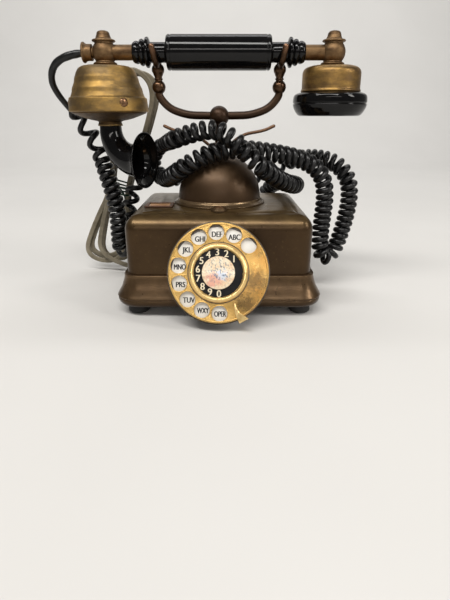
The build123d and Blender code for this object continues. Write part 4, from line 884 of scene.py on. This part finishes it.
finial_outline = softened(finial_foot + finial_head, 0.5, 5)
finial_places = [at(side * ball_x, 0, handset_z + finial_seat) for side in (-1, 1)]
finials = [turned(finial_outline, place, 64) for place in finial_places]
piece("turned_finials", "handset", finials, brown_brass, ["finials"])
ferrule_long, ferrule_bore = 7.9, 2.8
ferrule_root = [(ferrule_bore, -4.5), (4.0, -4.5), (4.0, -0.1), (6.2, 0.2), (6.2, 4.4), (6.7, 5.4)]
ferrule_tip = [(7.6, 6.3), (7.8, 7.1), (7.4, ferrule_long), (ferrule_bore, ferrule_long)]
ferrule_outline = softened(ferrule_root + ferrule_tip, 0.35, 5)
ferrule_x = -ball_x - ball_radius
ferrule_place = along_x(ferrule_x, handset_z, -1)
lathe(
    "cord_sleeve", "handset", "brown_brass", ferrule_outline, ferrule_place, 56, brown_brass, "cord_ferrule"
)


# Transmitter: spun brass bell with two soft beads and a plain band, a dished brass cover below it,
# its brass darkened as painted shade under the bell, and a black mouthpiece horn. The brass is
# cloudy with tarnish, and three screws hold its band.

bell_low, bell_high = mm_box("transmitter_shell")
bell_x, bell_radius = (bell_low[0] + bell_high[0]) / 2, half_size("transmitter_shell", 0)
bell_rim = bell_low[2]
rise = bell_high[2] - bell_rim
bell_band = [(31.2, 0), (32.2, 0), (bell_radius, 0.6), (32.6, 3.2)]
bell_beads = [
    (31.9, 0.3), (31.2, 0.315), (30.2, 0.335), (28.9, 0.43), (28.5, 0.50), (28.3, 0.52), (27.7, 0.555),
    (26.4, 0.64), (25.9, 0.71), (25.7, 0.74), (25.1, 0.78), (24.0, 0.86), (22.2, 0.94), (19.6, 0.985),
    (16.5, 1), (3.2, 1),
]
bell_inside = [(3.2, rise - 1.6), (17.0, rise - 1.6), (22.3, 0.8 * rise), (28.3, 0.31 * rise)]
bell_outline = [*bell_band, *(np.array(bell_beads) * (1, rise)), *bell_inside, (31.2, 0.24 * rise)]
bell_outline = softened(bell_outline, 0.9, 5)
at_bell = at(bell_x, 0, bell_rim)
lathe(
    "transmitter_brass_bell", "handset", "worn_brass", bell_outline, at_bell, 128, yellow_brass,
    "transmitter_shell",
)
cover_neck = [(7.2, -10.0), (9.8, -10.0), (9.9, -8.8), (9.3, -7.8), (10.6, -7.0), (14.0, -6.4)]
cover_dish = [(19.0, -5.2), (25.0, -3.1), (30.9, -0.9), (30.9, 2.0), (26.4, 2.0), (26.4, 0.4), (7.2, 0.4)]
cover_outline = softened(cover_neck + cover_dish, 0.8, 5)
# The cover's brown brass is darkened below the other brass: painted shade under the bell.
shaded_brass = brass(
    "shaded_brass", (0.085, 0.052, 0.024), (0.17, 0.105, 0.045), (0.055, 0.033, 0.017), (0.45, 0.62), 40
)
lathe(
    "transmitter_dark_cover", "handset", "dark_metal", cover_outline, at_bell, 96, shaded_brass,
    "transmitter_base",
)


def outward(angle, radius, up):
    """Stand a skin on the side of the bell, its height facing outwards."""
    out, across = np.array([cos(angle), sin(angle), 0]), (-sin(angle), cos(angle), 0)
    axes = np.array([across, (0, 0, 1), out])
    return lambda points: points @ axes + out * radius + np.array([bell_x, 0, up])


band_face, screw_z = 31.95, bell_rim + 6.6
screw_places = [outward(radians(turn), band_face, screw_z) for turn in (-56, 64, 184)]
screw_skins = [screw_head(3.5, 1.4, 0.45, 0.45, place) for place in screw_places]
piece("bell_band_screws", "handset", screw_skins, screw_bronze)
horn_top = mm_box("horn")[1][2]


def horn_skin(steps=64, wall=1.8, bend=24.0, neck=4.4, mouth=7.2, turn=radians(-20)):
    """Horn wall: circles carried down the neck, round a quarter bend and out to the flared mouth,
    first on the outside and back on the inside, with a rolled lip between."""
    run = np.concatenate([[0], np.cumsum([neck, bend * pi / 2, mouth])])
    s = np.linspace(0, 1, steps) * run[-1]
    swung = np.clip((s - run[1]) / bend, 0, pi / 2)
    out = bend * (1 - np.cos(swung)) + np.clip(s - run[2], 0, None)
    up = -np.clip(s, 0, run[1]) - bend * np.sin(swung)
    stations = [0, neck, 17.0, 29.5, 42.1, 46.4, 49.3]
    grow = np.interp(s, stations, [9.0, 9.2, 10.2, 12.0, 14.6, 17.8, 22.8])
    grow = np.convolve(np.pad(grow, 3, mode="edge"), np.ones(7) / 7, "valid")
    grow[-4:] = [19.4, 20.7, 21.9, 22.9]
    radius = np.concatenate([grow, [23.0, 22.6, 21.8], (grow - wall)[::-1]])
    order = np.concatenate([np.arange(steps), [steps - 1] * 3, np.arange(steps)[::-1]])
    push = np.concatenate([np.zeros(steps), [0.3, 0.5, 0.3], np.zeros(steps)])
    facing = np.stack([np.sin(swung), 0 * swung, -np.cos(swung)], -1)[order]
    place = np.stack([out, 0 * out, up], -1)[order] + facing * push[:, None]
    upward = np.stack([np.cos(swung), 0 * swung, np.sin(swung)], -1)[order]
    c, s = (way[:, None] for way in circle(96))
    swing = upward[:, None] * c + np.array([0, 1.0, 0]) * s
    points = place[:, None] + swing * radius[:, None, None]
    return points @ spin(turn) + np.array([bell_x, 0, horn_top]), True, True


piece("mouthpiece_horn", "handset", [horn_skin()], black_gloss, ["horn"])
ring_outline = softened([(8.6, -0.9), (10.1, -0.9), (10.3, 0.0), (10.1, 0.7), (8.6, 0.7)], 0.35, 5)
ring_place = at(bell_x, 0, horn_top)
lathe("horn_seat_ring", "handset", "worn_brass", ring_outline, ring_place, 72, yellow_brass)


# Receiver: a brown brass cup under the right ball, with a black screwed ear cap.
# The cup is spun; the cap is a gloss black moulding with a parting groove and a dished face.

cup_low, cup_high = mm_box("receiver_cup")
cup_x = (cup_low[0] + cup_high[0]) / 2
rise = cup_high[2] - cup_low[2]
cup_lip = [(22.1, 0), (24.3, 0), (24.5, 0.7), (24.2, 1.5), (23.7, 2.1)]
cup_wall = np.array([(23.7, 0.70), (23.3, 0.80), (22.2, 0.89), (20.2, 0.955), (17.0, 1), (3.2, 1)])
cup_inside = [(3.2, rise - 1.6), (15.0, rise - 1.6), (22.1, 0.6 * rise)]
receiver_outline = softened([*cup_lip, *(cup_wall * (1, rise)), *cup_inside], 0.9, 5)
at_cup = at(cup_x, 0, cup_low[2])
lathe(
    "receiver_brass_cup", "handset", "brown_brass", receiver_outline, at_cup, 128, olive_brass,
    "receiver_cup",
)
cap_face = [(0, -16.0), (10.0, -16.6), (21.5, -18.2), (24.4, -18.6), (26.2, -17.7), (28.1, -15.4)]
cap_groove = [(29.8, -12.2), (30.5, -9.6), (29.9, -9.2), (29.9, -8.6), (30.5, -8.2), (30.3, -4.2)]
cap_back = [(29.6, -2.4), (27.6, -1.1), (23.6, 0.0), (21.9, 0.0), (21.9, -12.8), (0, -12.8)]
cap_outline = softened(cap_face + cap_groove + cap_back, 0.6, 5)
cap_place = at(cup_x, 0, mm_box("ear_cap")[1][2])
lathe("ear_cap_moulding", "handset", "gloss_black", cap_outline, cap_place, 128, black_gloss, "ear_cap")


# Handset cord: one coiled cord in a black jacket, fixed in the ferrule and in the rear grommet. A
# wrapped lead leaves the ferrule, then the curls hang down the left side, pass behind the dome,
# fall in a long loop at the right and cross the front.

lead_route = [
    (-101.1, 0.0, 202.05), (-114.0, 0.0, 202.05), (-132.0, 2.0, 197.0), (-141.0, 8.0, 187.0),
    (-141.62, 14.95, 174.67), (-134.0, 18.0, 164.0),
]
curl_route = [
    (-134.0, 18.0, 164.0), (-124.0, 22.0, 150.0), (-113.0, 20.0, 136.0), (-106.0, 14.0, 120.0),
    (-101.0, 9.0, 104.0), (-96.0, 7.0, 86.0), (-94.0, 7.0, 68.0), (-95.0, 9.0, 50.0),
    (-96.0, 14.0, 36.0), (-97.0, 26.0, 30.0), (-96.0, 37.0, 38.0), (-93.0, 40.0, 56.0),
    (-88.0, 40.0, 76.0), (-82.0, 41.0, 96.0), (-66.0, 48.5, 103.0), (-44.0, 52.0, 97.0),
    (-18.0, 54.0, 93.5), (10.0, 55.0, 94.0), (34.0, 52.0, 98.0), (54.0, 45.0, 109.0),
    (72.0, 36.0, 117.0), (90.0, 26.0, 119.0), (106.0, 16.0, 115.0), (117.0, 11.0, 102.0),
    (119.5, 10.0, 86.0), (118.0, 10.5, 68.0), (114.0, 10.0, 50.0), (109.0, 8.0, 36.0),
    (101.0, 3.0, 29.0), (94.0, -3.0, 35.0), (92.0, -4.0, 50.0), (93.0, -3.0, 68.0),
    (94.5, -2.0, 86.0), (92.0, -3.0, 102.0), (83.0, -6.0, 114.0), (67.0, -9.0, 121.0),
    (48.0, -13.0, 125.0), (30.0, -15.0, 127.5), (14.0, -19.0, 129.0), (-2.0, -24.5, 127.5),
    (-19.0, -27.0, 121.0), (-33.0, -20.5, 112.0), (-43.5, -2.0, 104.0), (-50.0, 18.0, 100.0),
    (-60.0, 29.0, 104.5), (-64.0, 31.0, 117.0), (-55.5, 23.5, 128.0), (-47.0, 10.0, 132.0),
    (-38.0, -8.0, 136.0), (-23.0, -15.0, 141.0), (-5.0, -21.5, 145.0), (8.0, -30.5, 140.0),
    (20.0, -36.0, 129.0), (33.0, -33.5, 116.5), (47.0, -20.0, 106.0), (60.0, -4.0, 99.0),
    (70.0, 14.0, 95.0), (73.0, 34.0, 93.5), (67.0, 54.0, 93.0), (58.0, 73.0, 90.0),
    (51.0, 92.0, 81.0), (44.0, 101.0, 66.0), (40.0, 95.0, 56.0), (40.0, 85.0, 56.0),
]
wire_radius, curl_radius = 2.5, 5.5
pitch_stops = [0, 2.6, 3.2, 8, 8.5, 19.5, 20.5, 35, 37, 44, 46, 56, 57.5, 63]
curl_pitches = [13.5, 13.5, 5.5, 5.5, 12, 12, 5.15, 5.15, 5.9, 5.9, 6.6, 6.9, 5.7, 8.0]
plain_end, swell_run = 4.8, 10.0
horn_stop, horn_reach, horn_press = 46.7, 0.9, 0.26


def run_along(points):
    """Length from the first of some points to each of them."""
    steps = np.linalg.norm(np.diff(np.array(points), axis=0), axis=1)
    return np.concatenate([[0], np.cumsum(steps)])


def along_spline(name, route, spacing=1.0):
    """Evenly spaced points read from a smooth spline through the route's control points."""
    curve = bpy.data.curves.new(name, "CURVE")
    curve.dimensions = "3D"
    curve.resolution_u = 24
    spline = curve.splines.new("NURBS")
    spline.points.add(len(route) - 1)
    control = np.column_stack([np.array(route) * 0.001, np.ones(len(route))])
    spline.points.foreach_set("co", control.ravel())
    spline.order_u = 3
    spline.use_endpoint_u = True
    mesh = meshed(name, curve)
    points = vertices_of(mesh) * 1000
    bpy.data.meshes.remove(mesh)
    run = run_along(points)
    even = np.linspace(0, run[-1], int(run[-1] / spacing) + 1)
    return np.stack([np.interp(even, run, points[:, axis]) for axis in range(3)], -1)


def wound(spine, reach):
    """Helix round the spine: phase grows by a turn per pitch, which is set along the route, wanders
    a little and opens in bends; the radius swells from nothing at both ends and is pressed in where
    the cord passes the horn."""
    s = np.linspace(0, run_along(spine)[-1], len(spine))
    ahead, side = level_frames(spine)
    bend = np.linalg.norm(np.gradient(ahead, axis=0), axis=1) / np.gradient(s)
    bend = np.convolve(np.pad(bend, 30, mode="edge"), np.ones(61) / 61, "valid")
    stop = np.interp(s / s[-1], reach, np.arange(len(reach)))
    pitch = np.interp(stop, pitch_stops, curl_pitches)
    pitch *= 1.03 + 0.025 * np.sin(s / 23.0) + 0.02 * np.sin(s / 9.7 + 1.0)
    pitch /= 1 - np.clip(curl_radius * bend, 0, 0.45)
    end = np.minimum(s, s[-1] - s)
    grown = np.clip((end - plain_end) / swell_run, 0, 1)
    grown = grown**2 * (3 - 2 * grown)
    turn = np.concatenate([[0], np.cumsum(2 * pi * np.diff(s) / pitch[1:])])
    swing = side * np.cos(turn)[:, None] + np.cross(ahead, side) * np.sin(turn)[:, None]
    pressed = 1 - horn_press * np.exp(-(((stop - horn_stop) / horn_reach) ** 2))
    return spine + swing * (curl_radius * grown * pressed)[:, None]


reach = run_along(curl_route)
reach /= reach[-1]
curl_line = wound(along_spline("curl_spine", curl_route, 0.23), reach)
lead_line = along_spline("lead_line", lead_route, 1.5)
jacket = cloudy(
    "cord_black_jacket", (180, 6, 0.65),
    ((0.35, (0.0035, 0.0035, 0.004)), (0.85, (0.011, 0.0105, 0.010))),
    ((0.35, 0.27), (0.85, 0.42)), ((1500, 3), 0.00004, 0.25), Specular_IOR_Level=0.34,
)
stretch_to, settle_to = (int(reach[point] * len(curl_line)) for point in (4, 6))
upper_path = np.concatenate([lead_line[:-1], curl_line[: stretch_to + 1]])
middle_path, lower_path = curl_line[stretch_to : settle_to + 1], curl_line[settle_to:]
along_lead = np.linspace(0, 1, len(lead_line) - 1)
wrapped = np.clip((along_lead - 0.13) / 0.08, 0, 1) * (1 - along_lead) ** 0.8
upper_radius = np.full(len(upper_path), wire_radius)
upper_radius[: len(along_lead)] += wrapped * (0.85 + 0.12 * np.sin(44 * along_lead))


def coiled(name, body, path, radius, *stands_for):
    """One stretch of the coiled cord."""
    skins = [rod(path, radius, 12, False)]
    return piece(name, body, skins, jacket, stands_for, 60)


upper = coiled("handset_cord_upper", None, upper_path, upper_radius, "handset_cord_lead")
middle = coiled("handset_cord_middle", None, middle_path, wire_radius)
lower = coiled("handset_cord_lower", "base", lower_path, wire_radius, "handset_cord_coil")
metres(curl_route[0])
metres(curl_route[4])
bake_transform(upper)
metres(curl_route[4])
metres(curl_route[6])
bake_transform(middle)
ferrule_mouth = (ferrule_x - ferrule_long, 0.0, handset_z)
for cord, path, leaves in (
    (upper, upper_path, ferrule_mouth),
    (middle, middle_path, middle_path[0]),
    (lower, lower_path, lower_path[0]),
):
    metres(leaves)
    float(run_along(path)[-1]) * 0.001


# Line cord: flat ivory two-wire cord in a long loose hank at the left rear, tied at its waist with
# a twisted green wire. It leaves the case through a rubber grommet and ends in a moulded plug.

line_lead_route = [
    (-40.0, 85.0, 56.0), (-40.0, 96.0, 56.0), (-48.0, 104.0, 44.0), (-62.0, 103.0, 28.0),
    (-77.0, 95.0, 14.0), (-86.0, 82.0, 6.4), (-88.0, 67.0, 4.4), (-93.1, 50.64, 4.64),
    (-106.0, 50.4, 10.0),
]
tail_route = [
    (-99.5, 73.0, 26.0), (-100.118, 76.59, 13.005), (-98.5, 88.0, 5.2), (-90.0, 99.0, 3.4),
    (-78.0, 106.0, 4.0), (-67.0, 109.0, 9.0), (-56.0, 109.0, 9.0),
]
hank_foot, hank_head = np.array([-122.0, 50.0, 9.5]), np.array([-72.0, 50.0, 196.0])
hank_rise = hank_head - hank_foot
hank_up = unit(hank_rise)
hank_back = np.array([0, 1.0, 0])
hank_across = np.cross(hank_back, hank_up)
hank_loops, hank_step = 5, 3.8
hank_half_width, hank_waist, hank_fan, waist_share = 17.0, 6.5, 9.0, 0.42
cord_width, cord_thick = 4.8, 2.6


def hank_route():
    """Loops of the cord, each a step behind the last, drawn in at the waist and fanned at the foot."""
    spots = []
    for loop in range(hank_loops):
        fan, grow = hank_fan * cos(2.1 * loop), 0.02 * cos(3.7 * loop)
        wide = hank_half_width * (1 + 0.12 * sin(1.9 * loop))
        spots += [(wide + fan, 0.03 + grow, loop), (fan - wide, 0.02 + grow, loop)]
        spots += [(0.5 * fan - 0.85 * wide, 0.2, loop), (-hank_waist, waist_share, loop)]
        spots += [(-0.88 * wide, 0.7, loop), (-wide, 0.98 + grow, loop)]
        spots += [(wide, 0.97 - grow, loop + 0.1), (0.88 * wide, 0.7, loop + 0.35)]
        spots += [(hank_waist, waist_share, loop + 0.55), (0.85 * wide + 0.5 * fan, 0.2, loop + 0.8)]
    aside, share, behind = np.array(spots[1:]).T[:, :, None]
    loops = hank_foot + hank_across * aside + hank_rise * share + hank_back * hank_step * behind
    return [line_lead_route[-1], *loops, tail_route[0]]


def ribbon(path, thin, width, thick, sides=20):
    """Flat cord skin: a flattened round with a shallow groove down both faces, carried along a path
    with its thin way given per point, and closed at both ends."""
    ahead = unit(np.gradient(path, axis=0))
    thin = unit(thin - ahead * (thin * ahead).sum(1, keepdims=True))
    broad = np.cross(ahead, thin)
    c, s = (np.sign(way) * np.abs(way) ** 0.75 for way in circle(sides))
    x = width / 2 * c[:, None]
    y = thick / 2 * s[:, None] * (1 - 0.3 * np.exp(-((x / (0.14 * width)) ** 2)))
    skin = path[:, None] + broad[:, None] * x + thin[:, None] * y
    ends = [np.repeat(path[end][None, None], sides, 1) for end in (0, -1)]
    return np.concatenate([ends[0], skin, ends[1]]), False, True


# Ivory darkened far below its own colour: painted shade over the whole line cord.
shaded_ivory_tones = (0.3, (0.13, 0.11, 0.072)), (0.55, (0.21, 0.18, 0.125)), (0.8, (0.30, 0.265, 0.195))
shaded_ivory = cloudy(
    "ivory_cord_with_painted_shade", (70, 6, 0.65), shaded_ivory_tones, ((0.3, 0.35), (0.8, 0.55)),
    ((1300, 3), 0.00008, 0.3), (300, 4), Specular_IOR_Level=0.4,
)
lead_part = along_spline("line_lead", line_lead_route, 2.0)
hank_part = along_spline("line_hank", hank_route(), 1.6)
tail_part = along_spline("line_tail", tail_route, 2.0)
line_path = np.concatenate([lead_part[:-1], hank_part, tail_part[1:]])
start = len(lead_part) - 1
thin_on = level_frames(line_path[start:], hank_back)[1]
thin_to = level_frames(line_path[start::-1], hank_back)[1]
line_skin = ribbon(line_path, np.concatenate([thin_to[:0:-1], thin_on]), cord_width, cord_thick)
line_nodes = ["line_cord_lead", "line_cord_hank", "line_cord_tail"]
line_cord = piece("line_cord_ribbon", "base", [line_skin], shaded_ivory, line_nodes, 50)
hank_deep = hank_loops * hank_step
tie_middle = hank_foot + hank_rise * waist_share + hank_back * (hank_deep - 0.5 * hank_step) / 2
tie_half = np.array([hank_waist + 1.1 * cord_width + 0.6, (hank_deep + cord_thick) / 2 + 1.4])
turn = np.linspace(-0.5 * pi, 5.5 * pi, 180)
rounding = np.stack([np.cos(turn), np.sin(turn)], -1)
rounding = np.sign(rounding) * np.abs(rounding) ** 0.6 * tie_half
bind = tie_middle + hank_across * rounding[:, :1] + hank_back * rounding[:, 1:]
bind = bind + hank_up * (0.55 * (turn - 2.5 * pi))[:, None]
twist = np.linspace(0, 1, 60)[:, None]
knot = tie_middle - hank_back * (tie_half[1] + 1.0)
reach_out = knot + hank_across * 9 * twist - hank_back * 3 * twist - hank_up * 6 * twist**2
tie_skins = [rod(bind, 0.85, 10)]
for phase in (0, pi):
    swing = hank_up * np.cos(9 * twist + phase) + hank_back * np.sin(9 * twist + phase)
    tie_skins.append(rod(reach_out + 0.8 * swing, 0.75, 10))
tie_tones = (0.3, (0.008, 0.035, 0.018)), (0.8, (0.02, 0.075, 0.04))
green_jacket = cloudy("green_tie_jacket", (200, 4), tie_tones, ((0.3, 0.32), (0.8, 0.5)))
tie = piece("hank_wire_tie", "base", tie_skins, green_jacket, ["hank_tie"], 50)
plug_x, plug_y, plug_z = tail_route[-1]
plug_long, plug_deep, plug_tall, plug_corner = 24.0, 16.0, 18.0, 3.0
plug_outline = softened([(-7.9, 0), (0, 0), (0, plug_long), (-7.9, plug_long)], 1.5, 6)
plug_place = along_x(plug_x, plug_z, 1, plug_y)
plug_skin = carried(plug_deep, plug_tall, plug_corner, plug_outline, plug_place)
ivory_moulding = printed("ivory_moulding", (0.42, 0.38, 0.29), 60)
plug = piece("plug_moulding", "base", [plug_skin], ivory_moulding, ["line_plug"])
pin_outline = softened([(0, 23.0), (1.6, 23.0), (1.6, 32.2), (0.9, 33.0), (0, 33.0)], 0.3, 4)
pin_spots = [(y, z) for y in (-4.5, 4.5) for z in (-5.0, 5.0)]
pin_places = [along_x(plug_x, plug_z + z, 1, plug_y + y) for y, z in pin_spots]
pin_skins = [turned(pin_outline, place, 24) for place in pin_places]
pins_piece = piece("plug_pins", "base", pin_skins, yellow_brass)
metres(line_lead_route[0])
float(run_along(line_path)[-1]) * 0.001


def along_y(x, y, z):
    """Stand a skin's own height along Y, away from the user."""
    return lambda points: points[..., [0, 2, 1]] + np.array([x, y, z])


grommet_outline = softened([(0, 0), (6.8, 0), (6.8, 2.4), (4.8, 2.6), (3.5, 20.0), (0, 20.0)], 0.6, 5)
grommet_ends = line_lead_route[0], curl_route[-1]
grommet_places = [along_y(x, case_depth / 2, z) for x, _, z in grommet_ends]
grommets = [turned(grommet_outline, place, 40) for place in grommet_places]
piece("rubber_grommets", "base", grommets, black_rubber, ["cord_grommets"])


# Inner works: dial train, hook switch, ringer, terminal board and capsules inside the case.
# Bright steel frames, brass gears and gongs, copper windings and brown insulating board.


def dress(finish, *nodes):
    """Give CAD nodes their finish."""
    for node in nodes:
        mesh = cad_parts[node].data
        mesh.materials.clear()
        mesh.materials.append(finish)


steel = brass("zinc_steel", (0.30, 0.30, 0.29), (0.52, 0.52, 0.50), (0.20, 0.19, 0.17))
gear_brass = brass("gear_brass", (0.45, 0.33, 0.13), (0.70, 0.54, 0.24), (0.28, 0.18, 0.07))
winding = brass("enamelled_copper", (0.22, 0.085, 0.035), (0.45, 0.19, 0.08), (0.15, 0.055, 0.025))
board = printed("brown_board", (0.085, 0.045, 0.022), 120)
dark_plate = brass("blackened_steel", (0.02, 0.02, 0.02), (0.06, 0.058, 0.055), (0.035, 0.028, 0.022))
dress(steel, "hook_bracket", "hook_lever", "ringer_frame", "dial_frame", "return_spring")
dress(steel, "dial_shaft", "clapper")
dress(gear_brass, "main_gear", "pulse_pinion", "governor", "gong_left", "gong_right")
dress(winding, "ringer_coils", "induction_coil")
dress(board, "terminal_board", "hook_contacts", "pulse_contacts")
dress(dark_plate, "base_plate", "capacitor", "transmitter_capsule", "receiver_capsule")


# Stage: a plain pale floor that sweeps up behind, and a camera at the photograph's height and angle.
# The lamps are long strips, so that the metal shows soft highlights along its edges.

sweep_profile = np.concatenate([[(-2.5, 0.0)], arc((1.1, 0.9), 0.9, -90, 0, 16), [(2.0, 3.2)]])
sweep_grid = np.stack([np.insert(sweep_profile, 0, x, axis=1) for x in (-3.5, 3.5)], 1)
floor_mesh = bpy.data.meshes.new("pale_sweep")
floor_mesh.from_pydata(sweep_grid.reshape(-1, 3).tolist(), [], quads(sweep_grid, False, False).tolist())
floor_mesh.shade_smooth()
paper = Finish("pale_paper", Specular_IOR_Level=0.1)
paper_tone = paper.ramp((3, 3), (0.3, (0.62, 0.61, 0.59)), (0.7, (0.65, 0.64, 0.62)))
floor_mesh.materials.append(paper.show(paper_tone, 0.9))
floor = linked("pale_sweep", floor_mesh)
world = bpy.data.worlds.new("studio")
world.use_nodes = True
ambient = world.node_tree.nodes["Background"].inputs
ambient["Color"].default_value = (0.40, 0.39, 0.38, 1)
ambient["Strength"].default_value = 0.45
bpy.context.scene.world = world


def lamp(name, place, aim, size, power, colour=(1, 1, 1)):
    """Rectangular area lamp at a place, turned towards a point."""
    light = bpy.data.lights.new(name, "AREA")
    light.shape = "RECTANGLE"
    light.size, light.size_y = size
    light.energy = power
    light.color = colour
    holder = linked(name, light)
    holder.location = place
    holder.rotation_euler = (Vector(aim) - Vector(place)).to_track_quat("-Z", "Y").to_euler()


lamp("key_lamp", (-0.35, -1.0, 1.7), (0, 0, 0.1), (2.0, 0.34), 36.0, (1.0, 0.98, 0.95))
lamp("side_lamp", (1.2, -0.6, 0.8), (0, 0, 0.1), (0.3, 0.7), 7.0, (1.0, 0.97, 0.93))
lamp("front_lamp", (0.1, -1.5, 0.62), (0, 0, 0.06), (1.3, 0.10), 3.6, (1.0, 0.95, 0.91))
lamp("backdrop_lamp", (0.0, 0.9, 1.9), (0, 2.0, 0.3), (2.4, 0.5), 24.0)
camera_data = bpy.data.cameras.new("camera")
camera_data.sensor_fit = "VERTICAL"
camera_data.sensor_height = 36.0
camera_data.lens = 28.0
camera_data.clip_start = 0.01
camera = linked("camera", camera_data)
camera.location = (0.00495, -0.424, 0.1535)
camera.rotation_euler = (radians(90 - 21.4), 0, 0)
bpy.context.scene.camera = camera
bpy.context.scene.view_settings.view_transform = "Standard"
